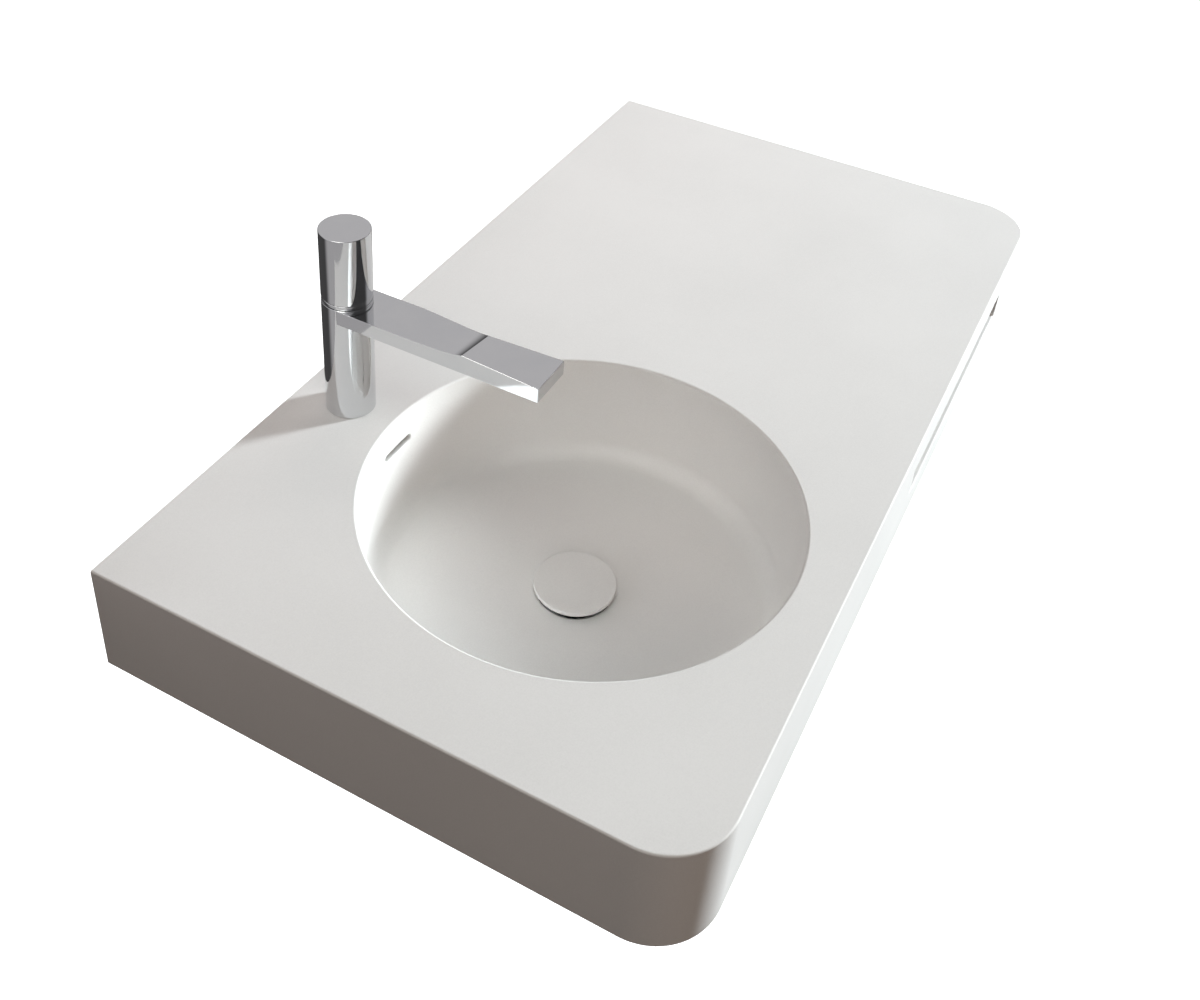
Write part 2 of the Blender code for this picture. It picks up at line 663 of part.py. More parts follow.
def make_plug(cap_look, metal, seal, barrel_look):
    """Make the push plug: barrel on the crossbar, and the stem, carrier, seal and cap that slide."""
    place = (BOWL_X, BOWL_Y, 0)
    radius, edge = PLUG_DIAMETER / 2, EDGE_RADIUS / 2
    socket = PLUG_SOCKET_DIAMETER / 2
    top = PLUG_UNDERSIDE + PLUG_THICKNESS
    socket_top = PLUG_UNDERSIDE + PLUG_SOCKET_DEPTH
    profile = [(0, socket_top), (socket, socket_top), (socket, PLUG_UNDERSIDE), (radius, PLUG_UNDERSIDE),
               (radius, top - edge), (radius - edge, top), (0, top)]
    turned("plug_cap", profile, cap_look, place, COLUMN_SEGMENTS)
    carrier_top = socket_top - CLEARANCE
    carrier_bottom = carrier_top - CARRIER_THICKNESS
    stem = STEM_DIAMETER / 2
    hole = stem + CLEARANCE
    plate = socket - CLEARANCE
    half_way = carrier_bottom + CARRIER_THICKNESS / 2
    profile = [(hole, carrier_bottom), (plate, carrier_bottom), (plate, carrier_top), (0, carrier_top),
               (0, half_way), (hole, half_way)]
    turned("plug_carrier", profile, metal, place)
    seal_outer = PLUG_SEAL_DIAMETER / 2
    seal_inner = seal_outer - PLUG_SEAL_WIDTH
    seal_top = PLUG_UNDERSIDE - CLEARANCE
    seal_bottom = seal_top - PLUG_SEAL_THICKNESS
    collar("plug_seal", 2 * seal_inner, 2 * seal_outer, seal_bottom, seal_top, seal, place)
    barrel_bottom = CROSSBAR_TOP + 2 * CLEARANCE
    barrel_top = barrel_bottom + BARREL_LENGTH
    barrel_floor = barrel_bottom + BARREL_FLOOR
    spigot, wall = BARREL_SPIGOT_DIAMETER / 2, BARREL_DIAMETER / 2
    spigot_bottom = CROSSBAR_TOP - CROSSBAR_HEIGHT
    profile = [(0, spigot_bottom), (spigot, spigot_bottom), (spigot, barrel_bottom), (wall, barrel_bottom),
               (wall, barrel_top), (hole, barrel_top), (hole, barrel_floor), (0, barrel_floor)]
    turned("plug_barrel", profile, barrel_look, place, SMALL_SEGMENTS)
    stem_bottom = barrel_floor + PLUG_RISE
    rod("plug_stem", STEM_DIAMETER, stem_bottom, half_way - CLEARANCE, metal, place)


def spout_sections():
    """List the spout's four-cornered sections from the column to the tip.

    The underside is level. Along the top the edge on the left climbs to a crisp ridge and falls
    to the tip, and the edge on the right dips to the ridge's other end and comes back.
    """
    low = DECK_TOP + SPOUT_UNDERSIDE
    top = low + SPOUT_THICKNESS
    half = SPOUT_WIDTH / 2
    stations = [(SPOUT_ROOT_OFFSET, 0, 0), (SPOUT_SCOOP_START, 0, 0),
                (SPOUT_RIDGE_REACH, SPOUT_RIDGE_RISE, -SPOUT_RIDGE_DIP), (SPOUT_REACH, 0, 0)]
    return [[(-half, -reach, low), (half, -reach, low), (half, -reach, top + right),
             (-half, -reach, top + left)] for reach, left, right in stations]


def make_tap_body(look):
    """Make the column and its flat spout in one casting, with the valve bore and waterways."""
    place = (BOWL_X, TAP_Y, 0)
    radius, edge = TAP_DIAMETER / 2, TAP_CHAMFER
    foot, top = DECK_TOP + CLEARANCE, DECK_TOP + COLUMN_HEIGHT
    profile = [(0, foot), (radius - edge, foot), (radius, foot + edge), (radius, top - edge),
               (radius - edge, top), (0, top)]
    body = turned("tap_body", profile, look, place, COLUMN_SEGMENTS)
    join(body, lofted("spout", spout_sections(), None, place))
    foot_bore_top = DECK_TOP + TAP_FOOT_BORE_HEIGHT
    valve_floor = DECK_TOP + VALVE_BORE_FLOOR
    foot_bore = rod("foot_bore", TAP_FOOT_BORE_DIAMETER, foot - OVERRUN, foot_bore_top, None, place)
    near, far = GASKET_INNER_DIAMETER - 2 * CLEARANCE, GASKET_OUTER_DIAMETER + 2 * CLEARANCE
    groove_top = foot + GASKET_THICKNESS
    groove = collar("gasket_groove", near, far, foot - OVERRUN, groove_top, None, place)
    valve_bore = rod("valve_bore", VALVE_BORE_DIAMETER, valve_floor, top + OVERRUN, None, place)
    cut(body, foot_bore, groove, valve_bore)
    for side, sign in (("hot", -1), ("cold", 1)):
        row = TAP_Y - INLET_OFFSET
        port_place = (BOWL_X + sign * DISC_PORT_SPACING / 2, row, 0)
        inlet_place = (BOWL_X + sign * INLET_SPACING / 2, row, 0)
        above = valve_floor + OVERRUN
        port = rod(side + "_port", DISC_PORT_DIAMETER, foot_bore_top, above, None, port_place)
        wide, socket_top = INLET_DIAMETER + 2 * CLEARANCE, foot_bore_top + INLET_SOCKET_DEPTH
        below = foot_bore_top - OVERRUN
        cut(body, port, rod(side + "_socket", wide, below, socket_top, None, inlet_place))
    stud_hole = rod("stud_hole", STUD_DIAMETER + 2 * CLEARANCE, foot_bore_top - OVERRUN,
                    foot_bore_top + STUD_SOCKET_DEPTH, None, (BOWL_X, TAP_Y + STUD_OFFSET, 0))
    middle = DECK_TOP + SPOUT_UNDERSIDE + SPOUT_THICKNESS / 2
    mouth = SPOUT_REACH - AERATOR_SETBACK
    outline = circle(WATERWAY_DIAMETER, middle, BORE_SEGMENTS)
    waterway = lengthwise("waterway", outline, -mouth, -VALVE_BORE_DIAMETER / 4, None, place)
    pocket_bottom = DECK_TOP + SPOUT_UNDERSIDE
    pocket = rod("aerator_pocket", AERATOR_DIAMETER + 2 * CLEARANCE, pocket_bottom - OVERRUN,
                 pocket_bottom + AERATOR_POCKET_DEPTH, None, (BOWL_X, TAP_Y - mouth, 0))
    cut(body, stud_hole, waterway, pocket)


def make_aerator(look, screen_look):
    """Make the outlet's housing and the screen that it holds."""
    mouth = SPOUT_REACH - AERATOR_SETBACK
    place = (BOWL_X, TAP_Y - mouth, 0)
    bottom = DECK_TOP + SPOUT_UNDERSIDE
    outer, wall = AERATOR_DIAMETER / 2, AERATOR_WALL
    inner = outer - wall
    lip = inner - wall
    top = bottom + AERATOR_HEIGHT
    profile = [(lip, bottom), (outer, bottom), (outer, top), (inner, top), (inner, bottom + wall),
               (lip, bottom + wall)]
    turned("aerator_housing", profile, look, place, SMALL_SEGMENTS)
    level = bottom + wall + CLEARANCE
    screen_top = level + SCREEN_THICKNESS
    screen = rod("aerator_screen", 2 * (inner - CLEARANCE), level, screen_top, screen_look, place)
    for index in range(SCREEN_HOLES):
        angle = math.tau * index / SCREEN_HOLES
        reach = SCREEN_HOLE_RING_DIAMETER / 2
        spot = (place[0] + reach * math.cos(angle), place[1] + reach * math.sin(angle), 0)
        hole = rod("screen_hole_" + str(index), SCREEN_HOLE_DIAMETER, level - SCREEN_THICKNESS,
                   level + 2 * SCREEN_THICKNESS, None, spot, ARC_STEPS)
        cut(screen, hole)


def make_valve(housing_look, spindle_look, disc_look, seal_look, nut_look):
    """Make the valve in the column from its seal up to the nut that holds it down."""
    place = (BOWL_X, TAP_Y, 0)
    floor = DECK_TOP + VALVE_BORE_FLOOR + CLEARANCE
    seal_top = floor + VALVE_SEAL_THICKNESS
    seal = rod("cartridge_seal", VALVE_SEAL_DIAMETER, floor, seal_top, seal_look, place)
    fixed_bottom = seal_top + CLEARANCE
    fixed_top = fixed_bottom + DISC_THICKNESS
    fixed = rod("disc_fixed", DISC_DIAMETER, fixed_bottom, fixed_top, disc_look, place)
    for side, sign in (("left", -1), ("right", 1)):
        spot = (BOWL_X + sign * DISC_PORT_SPACING / 2, TAP_Y - INLET_OFFSET, 0)
        low, high = floor - OVERRUN, seal_top + OVERRUN
        cut(seal, rod("seal_port_" + side, DISC_PORT_DIAMETER, low, high, None, spot))
        low, high = fixed_bottom - OVERRUN, fixed_top + OVERRUN
        cut(fixed, rod("disc_port_" + side, DISC_PORT_DIAMETER, low, high, None, spot))
    turning_bottom = fixed_top + CLEARANCE
    turning_top = turning_bottom + DISC_THICKNESS
    turning = rod("disc_turning", DISC_DIAMETER, turning_bottom, turning_top, disc_look, place)
    reach = DISC_PORT_SPACING / 2
    low, high = turning_bottom - OVERRUN, turning_bottom + DISC_THICKNESS / 2
    cut(turning, block("disc_scoop", (-reach, 0, low), (reach, reach, high), None, place))
    foot_bottom = turning_top + CLEARANCE
    foot_top = foot_bottom + SPINDLE_FOOT_THICKNESS
    disc, spindle = DISC_DIAMETER / 2, SPINDLE_DIAMETER / 2
    tip = DECK_TOP + SPINDLE_TOP
    profile = [(0, foot_bottom), (disc, foot_bottom), (disc, foot_top), (spindle, foot_top),
               (spindle, tip), (0, tip)]
    turned("cartridge_stem", profile, spindle_look, place, SMALL_SEGMENTS)
    outer, cavity = HOUSING_DIAMETER / 2, disc + CLEARANCE
    neck, shoulder = spindle + CLEARANCE, foot_top + CLEARANCE
    collar_bottom = DECK_TOP + HOUSING_COLLAR_LEVEL
    collar_top = collar_bottom + HOUSING_COLLAR_THICKNESS
    collar_radius = VALVE_BORE_DIAMETER / 2 - CLEARANCE
    profile = [(cavity, fixed_bottom), (outer, fixed_bottom), (outer, collar_bottom),
               (collar_radius, collar_bottom), (collar_radius, collar_top), (neck, collar_top),
               (neck, shoulder), (cavity, shoulder)]
    turned("cartridge_housing", profile, housing_look, place)
    nut_outer = VALVE_BORE_DIAMETER - 2 * CLEARANCE
    nut_bottom, nut_top = collar_top + CLEARANCE, DECK_TOP + COLUMN_HEIGHT + NUT_STAND_OUT
    collar("cartridge_nut", NUT_BORE_DIAMETER, nut_outer, nut_bottom, nut_top, nut_look, place)


def make_handle(look, screw_look):
    """Make the trim ring, the turning handle above it and the screw that fixes the handle."""
    place = (BOWL_X, TAP_Y, 0)
    ring_bottom = DECK_TOP + COLUMN_HEIGHT + CLEARANCE
    ring_top = ring_bottom + RING_THICKNESS
    inner, outer = RING_BORE_DIAMETER, RING_DIAMETER
    collar("trim_ring", inner, outer, ring_bottom, ring_top, look, place, COLUMN_SEGMENTS)
    bottom, top = ring_top + HANDLE_GAP, DECK_TOP + TAP_HEIGHT
    radius, edge = TAP_DIAMETER / 2, TAP_CHAMFER
    cup, cup_top = radius - HANDLE_WALL, top - HANDLE_CROWN
    boss, boss_bottom = HANDLE_BOSS_DIAMETER / 2, bottom + HANDLE_BOSS_RISE
    socket = SPINDLE_DIAMETER / 2 + CLEARANCE
    socket_top = DECK_TOP + SPINDLE_TOP + CLEARANCE
    profile = [(cup, bottom), (radius - edge, bottom), (radius, bottom + edge), (radius, top - edge),
               (radius - edge, top), (0, top), (0, socket_top), (socket, socket_top), (socket, boss_bottom),
               (boss, boss_bottom), (boss, cup_top), (cup, cup_top)]
    handle = turned("tap_handle", profile, look, place, COLUMN_SEGMENTS)
    level = DECK_TOP + GRUB_SCREW_LEVEL
    bore = circle(GRUB_SCREW_DIAMETER + 2 * CLEARANCE, level, BORE_SEGMENTS)
    cut(handle, lengthwise("grub_screw_hole", bore, socket / 2, radius + OVERRUN, None, place))
    screw = circle(GRUB_SCREW_DIAMETER, level, BORE_SEGMENTS)
    lengthwise("handle_grub_screw", screw, socket, socket + GRUB_SCREW_LENGTH, screw_look, place)


def clamp_plate(name, bottom, thickness, look):
    """Make a horseshoe plate that goes round the inlets and holds the stud."""
    top = bottom + thickness
    radius, half = CLAMP_DIAMETER / 2, CLAMP_MOUTH_DIAMETER / 2
    tip = math.acos(half / radius)
    outline = arc((0, 0), radius, -tip, math.pi + tip, 2 * ARC_STEPS)
    outline += arc((0, -INLET_OFFSET), half, math.pi, 0)
    plate = upright(name, outline, bottom, top, look, (BOWL_X, TAP_Y, 0))
    spot = (BOWL_X, TAP_Y + STUD_OFFSET, 0)
    wide = STUD_DIAMETER + 2 * CLEARANCE
    cut(plate, rod(name + "_hole", wide, bottom - OVERRUN, top + OVERRUN, None, spot))


def make_tap_fixing(metal, seal, pipe):
    """Make the foot gasket, the stud with its clamp, and the two inlet tails."""
    place = (BOWL_X, TAP_Y, 0)
    gasket_bottom = DECK_TOP + CLEARANCE
    collar("tap_gasket", GASKET_INNER_DIAMETER, GASKET_OUTER_DIAMETER, gasket_bottom,
           gasket_bottom + GASKET_THICKNESS - CLEARANCE, seal, place)
    rubber_bottom = DECK_UNDERSIDE - CLEARANCE - CLAMP_RUBBER_THICKNESS
    plate_bottom = rubber_bottom - CLEARANCE - CLAMP_PLATE_THICKNESS
    clamp_plate("clamp_rubber", rubber_bottom, CLAMP_RUBBER_THICKNESS, seal)
    clamp_plate("clamp_plate", plate_bottom, CLAMP_PLATE_THICKNESS, metal)
    stud_top = DECK_TOP + TAP_FOOT_BORE_HEIGHT + STUD_SOCKET_DEPTH - CLEARANCE
    stud_place = (BOWL_X, TAP_Y + STUD_OFFSET, 0)
    rod("tap_stud", STUD_DIAMETER, stud_top - STUD_LENGTH, stud_top, metal, stud_place)
    nut_top = plate_bottom - CLEARANCE
    nut_bottom = nut_top - CLAMP_NUT_HEIGHT
    nut = upright("clamp_nut", hexagon(CLAMP_NUT_WIDTH), nut_bottom, nut_top, metal, stud_place)
    wide = STUD_DIAMETER + 2 * CLEARANCE
    below, above = nut_bottom - OVERRUN, nut_top + OVERRUN
    cut(nut, rod("clamp_nut_bore", wide, below, above, None, stud_place))
    tail_top = DECK_TOP + TAP_FOOT_BORE_HEIGHT + INLET_SOCKET_DEPTH - CLEARANCE
    tail_bottom = DECK_UNDERSIDE - INLET_DROP
    bore, tail, ferrule = INLET_BORE_DIAMETER / 2, INLET_DIAMETER / 2, FERRULE_DIAMETER / 2
    ferrule_top = tail_bottom + FERRULE_HEIGHT
    profile = [(bore, tail_bottom), (ferrule, tail_bottom), (ferrule, ferrule_top), (tail, ferrule_top),
               (tail, tail_top), (bore, tail_top)]
    for side, sign in (("hot", -1), ("cold", 1)):
        spot = (BOWL_X + sign * INLET_SPACING / 2, TAP_Y - INLET_OFFSET, 0)
        turned(side + "_inlet", profile, pipe, spot, SMALL_SEGMENTS)


def main():
    """Build every piece of the washbasin."""
    clear_scene()
    make_deck(solid_surface("deck_white"))
    make_bowl(solid_surface("bowl_white"))
    make_aprons(solid_surface("apron_white"))
    make_rear_rail(solid_surface("rail_white"))
    make_bracket("left", -1, steel("bracket_steel_left"))
    make_bracket("right", 1, steel("bracket_steel_right"))
    make_screws(steel("screw_steel"), brass("insert_brass"))
    make_overflow_duct(solid_surface("duct_white"))
    make_waste(chrome("waste_chrome"), rubber("waste_rubber"))
    make_plug(solid_surface("plug_white"), brass("plug_brass"), rubber("plug_rubber"),
              plastic("plug_plastic"))
    make_tap_body(chrome("column_chrome"))
    make_aerator(plastic("aerator_plastic"), steel("screen_steel"))
    make_valve(plastic("valve_plastic"), brass("valve_brass"), ceramic("valve_ceramic"),
               rubber("valve_rubber"), brass("valve_nut_brass"))
    make_handle(chrome("handle_chrome"), steel("grub_screw_steel"))
    make_tap_fixing(steel("fixing_steel"), rubber("fixing_rubber"), brass("inlet_brass"))


main()
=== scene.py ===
"""Dressed model of a wall-hung washbasin with a slotted front, a column tap and a push waste.

Lengths are in metres and angles in degrees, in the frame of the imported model: X along the basin,
the front towards -Y, the wall at Y = 0 and Z up.
"""

import logging
import math
from dataclasses import dataclass
from enum import Enum
from typing import Any, Sequence

import bmesh
import bpy
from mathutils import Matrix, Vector


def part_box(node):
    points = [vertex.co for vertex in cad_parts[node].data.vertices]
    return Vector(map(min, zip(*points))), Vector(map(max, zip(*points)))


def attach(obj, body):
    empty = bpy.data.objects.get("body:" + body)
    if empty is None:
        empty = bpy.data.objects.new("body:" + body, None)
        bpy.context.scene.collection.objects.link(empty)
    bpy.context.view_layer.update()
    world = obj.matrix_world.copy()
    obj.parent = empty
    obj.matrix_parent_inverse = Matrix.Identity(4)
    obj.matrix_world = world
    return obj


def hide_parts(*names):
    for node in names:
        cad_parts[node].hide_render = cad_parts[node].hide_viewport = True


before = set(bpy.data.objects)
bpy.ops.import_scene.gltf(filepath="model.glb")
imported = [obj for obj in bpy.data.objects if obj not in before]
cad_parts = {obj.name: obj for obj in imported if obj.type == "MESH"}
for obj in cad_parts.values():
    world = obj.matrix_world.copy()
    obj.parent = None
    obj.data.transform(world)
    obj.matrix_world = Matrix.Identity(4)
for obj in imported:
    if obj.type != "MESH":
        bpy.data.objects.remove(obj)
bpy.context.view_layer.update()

LOG = logging.getLogger("washbasin")

Pair = tuple[float, float]
Point = tuple[float, float, float]
Outline = list[Pair]
Loop = list[Point]


class Body(Enum):
    """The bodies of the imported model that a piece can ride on."""

    BASIN = "basin"
    HANDLE = "handle"
    PLUG = "plug"


class Reach(Enum):
    """What a studio light does: light faces softly, or show itself in their gloss."""

    SOFT = "soft"
    GLEAM = "gleam"


class Slot(Enum):
    """The record's material slots that go with new pieces; dress doesn't assign them."""

    WHITE = "solid_white"
    CHROME = "chrome"


# Materials

# How much of its scaled space one band of Blender's wave texture takes
BAND_SHARE = math.tau / 20


def linear(hex_colour: str) -> tuple[float, float, float, float]:
    """Turn an sRGB hex colour into linear RGBA.

    Args:
        hex_colour: a hash sign and six hex digits.

    Returns:
        The linear red, green and blue, and an alpha of one.
    """
    digits = hex_colour.lstrip("#")
    channels = [int(digits[place:place + 2], 16) / 255 for place in (0, 2, 4)]
    low = [c / 12.92 if c <= 0.04045 else ((c + 0.055) / 1.055) ** 2.4 for c in channels]
    return (low[0], low[1], low[2], 1.0)


def add_node(tree: bpy.types.NodeTree, kind: str, inputs: dict[Any, Any] | None = None,
             **settings: Any) -> bpy.types.Node:
    """Add a node with its settings, values and links.

    Args:
        tree: the node tree that takes the node.
        kind: Blender's name for the kind of node.
        inputs: socket names or numbers, each with a value or with the socket that feeds it.
        **settings: the node's own properties.

    Returns:
        The new node.
    """
    node = tree.nodes.new(kind)
    for key, value in settings.items():
        setattr(node, key, value)
    for key, value in (inputs or {}).items():
        if isinstance(value, bpy.types.NodeSocket):
            tree.links.new(value, node.inputs[key])
        else:
            node.inputs[key].default_value = value
    return node


def blank_material(name: str) -> tuple[bpy.types.Material, bpy.types.NodeTree]:
    """Make a material with an empty node tree.

    Args:
        name: the material's name.

    Returns:
        The material and its node tree.
    """
    material = bpy.data.materials.new(name)
    material.use_nodes = True
    material.node_tree.nodes.clear()
    return material, material.node_tree


def per_metre(millimetres: float) -> float:
    """Return the texture scale at which one feature is this many millimetres wide."""
    return 1000.0 / millimetres


@dataclass(frozen=True)
class Pattern:
    """A noise pattern: how wide its features are, and how much finer detail they carry."""

    width_mm: float
    detail: float = 2.0
    roughness: float = 0.5


@dataclass(frozen=True)
class Finish:
    """What all finishes share: two tones in clouds, a gloss in patches and a fine relief.

    A span holds the values of the noise between which the tone or the gloss changes. The patches
    follow the first cloud, and the relief the patches, where they have no pattern of their own.
    Edge polish above zero smooths raised edges, and rings above zero replace the relief. A metal
    keeps the shader's default IOR.
    """

    tones: tuple[str, str]
    clouds: tuple[Pattern, ...]
    roughness: float
    dulling: float
    strength: float
    cloud_span: Pair = (0.0, 1.0)
    patches: Pattern | None = None
    patch_span: Pair = (0.0, 1.0)
    edge_polish: float = 0.0
    edge_span: Pair = (0.52, 0.62)
    relief: Pattern | None = None
    relief_depth: float = 0.0001
    ring_mm: float = 0.0
    ring_wobble: float = 0.4
    metallic: float = 0.0
    ior: float = 1.5

    def make(self, name: str) -> bpy.types.Material:
        """Build the material.

        Args:
            name: the material's name.

        Returns:
            The material.
        """
        material, tree = blank_material(name)
        place = add_node(tree, "ShaderNodeTexCoord").outputs["Object"]
        patches = self.patches or self.clouds[0]
        relief = self.relief or patches
        noise = {pattern: add_node(tree, "ShaderNodeTexNoise", {
            "Vector": place, "Scale": per_metre(pattern.width_mm), "Detail": pattern.detail,
            "Roughness": pattern.roughness}).outputs["Fac"]
            for pattern in dict.fromkeys((*self.clouds, patches, relief))}
        cloud = noise[self.clouds[0]]
        for pattern in self.clouds[1:]:
            cloud = add_node(tree, "ShaderNodeMath", {0: cloud, 1: noise[pattern]},
                             operation="ADD").outputs[0]
        share = add_node(tree, "ShaderNodeMapRange", {
            "Value": cloud, "From Min": self.cloud_span[0], "From Max": self.cloud_span[1]})
        colour = add_node(tree, "ShaderNodeMix", {
            0: share.outputs[0], 6: linear(self.tones[0]), 7: linear(self.tones[1])},
            data_type="RGBA")
        rough = add_node(tree, "ShaderNodeMapRange", {
            "Value": noise[patches], "From Min": self.patch_span[0],
            "From Max": self.patch_span[1], "To Min": self.roughness,
            "To Max": self.roughness + self.dulling}).outputs[0]
        if self.edge_polish:
            edge = add_node(tree, "ShaderNodeNewGeometry").outputs["Pointiness"]
            polished = add_node(tree, "ShaderNodeMapRange", {
                "Value": edge, "From Min": self.edge_span[0], "From Max": self.edge_span[1]})
            rough = add_node(tree, "ShaderNodeMath", {
                0: polished.outputs[0], 1: -self.edge_polish, 2: rough},
                operation="MULTIPLY_ADD").outputs[0]
        height = noise[relief]
        if self.ring_mm:
            height = add_node(tree, "ShaderNodeTexWave", {
                "Vector": place, "Scale": BAND_SHARE * per_metre(self.ring_mm),
                "Distortion": self.ring_wobble, "Detail": 1.0},
                wave_type="BANDS", bands_direction="Z").outputs["Fac"]
        bump = add_node(tree, "ShaderNodeBump", {
            "Strength": self.strength, "Distance": self.relief_depth, "Height": height})
        shader = add_node(tree, "ShaderNodeBsdfPrincipled", {
            "Base Color": colour.outputs[2], "Roughness": rough,
            "Normal": bump.outputs["Normal"], "Metallic": self.metallic, "IOR": self.ior})
        add_node(tree, "ShaderNodeOutputMaterial", {"Surface": shader.outputs["BSDF"]})
        return material


@dataclass(frozen=True)
class CastAcrylicStone(Finish):
    """Cast acrylic resin filled with white alumina, sanded to a matt finish.

    The filler gives a warm white with a mineral grain and faint clouds, and the sanding gives a
    broad soft sheen that is a little smoother along edges that hands polish. The grain and the
    sanding marks are drawn coarser than real ones, which are too fine to show.
    """

    tones: tuple[str, str] = ("#EDECEA", "#F4F3F1")
    clouds: tuple[Pattern, ...] = (Pattern(160.0, 3.0), Pattern(1.2, 2.0, 0.6))
    cloud_span: Pair = (0.72, 1.25)
    roughness: float = 0.52
    dulling: float = 0.10
    edge_polish: float = 0.12
    relief: Pattern | None = Pattern(0.5)
    relief_depth: float = 0.0002
    strength: float = 0.06


@dataclass(frozen=True)
class ChromePlate(Finish):
    """Polished brass with bright nickel and chromium plated on it.

    The plating is a mirror with a slightly cool tone, and fine polishing leaves it with a barely
    wavy surface and faint finger haze.
    """

    tones: tuple[str, str] = ("#D3D5D8", "#DCDDDE")
    clouds: tuple[Pattern, ...] = (Pattern(26.0, 4.0, 0.6),)
    patch_span: Pair = (0.35, 0.8)
    roughness: float = 0.035
    dulling: float = 0.05
    relief: Pattern | None = Pattern(14.0, 1.0)
    relief_depth: float = 0.0002
    strength: float = 0.05
    metallic: float = 1.0


@dataclass(frozen=True)
class TurnedMetal(Finish):
    """Bare metal turned or drawn, with rings from the tool and a light tarnish.

    The rings stretch highlights across the turned surface, and the tarnish dulls it in patches.
    The rings are drawn several times as wide as real ones, which are too fine to show.
    """

    tones: tuple[str, str] = ("#D2B06A", "#A98545")
    clouds: tuple[Pattern, ...] = (Pattern(9.0, 5.0, 0.65),)
    cloud_span: Pair = (0.35, 0.7)
    patch_span: Pair = (0.3, 0.75)
    roughness: float = 0.28
    dulling: float = 0.22
    ring_mm: float = 0.9425
    strength: float = 0.12
    metallic: float = 1.0


@dataclass(frozen=True)
class ZincPlatedSteel(Finish):
    """Mild steel, rolled or cold formed, zinc plated and clear passivated.

    The plating is a cool light grey with faint straw and blue clouds, and small dull scuffs.
    """

    tones: tuple[str, str] = ("#B4BAC1", "#BDB8A6")
    clouds: tuple[Pattern, ...] = (Pattern(22.0, 4.0),)
    cloud_span: Pair = (0.42, 0.66)
    patches: Pattern | None = Pattern(2.2, 5.0, 0.7)
    patch_span: Pair = (0.4, 0.75)
    roughness: float = 0.34
    dulling: float = 0.25
    strength: float = 0.10
    metallic: float = 1.0


@dataclass(frozen=True)
class MouldedPolymer(Finish):
    """Moulded plastic or rubber with a moulded grain.

    The grain breaks up highlights, and slow flow marks vary the tone a little. The grain is drawn
    coarser than the real one, which is too fine to show.
    """

    tones: tuple[str, str] = ("#85888A", "#9A9D9F")
    clouds: tuple[Pattern, ...] = (Pattern(14.0, 3.0),)
    patch_span: Pair = (0.3, 0.7)
    roughness: float = 0.45
    dulling: float = 0.13
    relief: Pattern | None = Pattern(0.8)
    strength: float = 0.12


SOLID_SURFACE = CastAcrylicStone()
CHROME = ChromePlate()
BRASS = TurnedMetal()
ZINC = ZincPlatedSteel()
# Greyer and smoother than the brass
STAINLESS = TurnedMetal(tones=("#C3C5C6", "#A3A6A8"), ring_mm=0.754, roughness=0.22)
# Black and dull
NITRILE_RUBBER = MouldedPolymer(tones=("#161617", "#232324"), clouds=(Pattern(10.0, 3.0),),
                                relief=Pattern(0.6), roughness=0.63, ior=1.52)
# Plain grey and half dull
ACETAL = MouldedPolymer()
# Cream and almost polished
LAPPED_ALUMINA = MouldedPolymer(tones=("#E4DFD0", "#EFEBDF"), clouds=(Pattern(6.0, 3.0),),
                                relief=Pattern(0.3), roughness=0.15, strength=0.03, ior=1.76)


# Mesh helpers

# The angle above which an edge is shaded sharp, where a piece doesn't set its own
SHARP_DEGREES = 40.0
# How far a corner may be rounded, as a share of the side beside it
SIDE_SHARE = 0.45
# The least sine of a corner's turn that is rounded
LEAST_TURN = 0.2
# Points nearer than this are merged
MERGE_DISTANCE = 1e-7
# How strongly large faces keep their own normal
FLAT_WEIGHT = 90


def make_object(name: str, points: Sequence[Sequence[float]], faces: Sequence[Sequence[int]],
                sharp_degrees: float = SHARP_DEGREES) -> bpy.types.Object:
    """Make a smooth-shaded mesh object whose sharp angles stay sharp.

    Args:
        name: the piece's name.
        points: the corner points.
        faces: the faces as lists of point numbers.
        sharp_degrees: the angle above which an edge is shaded sharp.

    Returns:
        The new object, linked to the scene.
    """
    mesh = bpy.data.meshes.new(name)
    mesh.from_pydata(points, [], faces)
    form = bmesh.new()
    form.from_mesh(mesh)
    bmesh.ops.remove_doubles(form, verts=form.verts, dist=MERGE_DISTANCE)
    bmesh.ops.recalc_face_normals(form, faces=form.faces)
    form.to_mesh(mesh)
    form.free()
    return place_mesh(name, mesh, sharp_degrees)


def place_mesh(name: str, mesh: bpy.types.Mesh, sharp_degrees: float) -> bpy.types.Object:
    """Link a mesh as an object, smooth but for its sharp angles, with flat faces kept flat.

    Args:
        name: the piece's name.
        mesh: the finished mesh.
        sharp_degrees: the angle above which an edge is shaded sharp.

    Returns:
        The new object.
    """
    mesh.shade_smooth()
    mesh.set_sharp_from_angle(angle=math.radians(sharp_degrees))
    thing = bpy.data.objects.new(name, mesh)
    bpy.context.scene.collection.objects.link(thing)
    flatten = thing.modifiers.new("flat_faces", "WEIGHTED_NORMAL")
    flatten.keep_sharp = True
    flatten.weight = FLAT_WEIGHT
    return thing


def arc(centre: Pair, radius: float, start: float, end: float, steps: int) -> Outline:
    """List the points of an arc, both ends included.

    Args:
        centre: the arc's centre.
        radius: its radius.
        start: the first angle in degrees.
        end: the last angle in degrees.
        steps: how many chords it has.

    Returns:
        The points from start to end.
    """
    angles = [math.radians(start + (end - start) * step / steps) for step in range(steps + 1)]
    return [(centre[0] + radius * math.cos(a), centre[1] + radius * math.sin(a)) for a in angles]


def spread(start: float, end: float, steps: int) -> list[float]:
    """Return the ends of equal steps from start to end, without the start itself."""
    return [start + (end - start) * step / steps for step in range(1, steps + 1)]


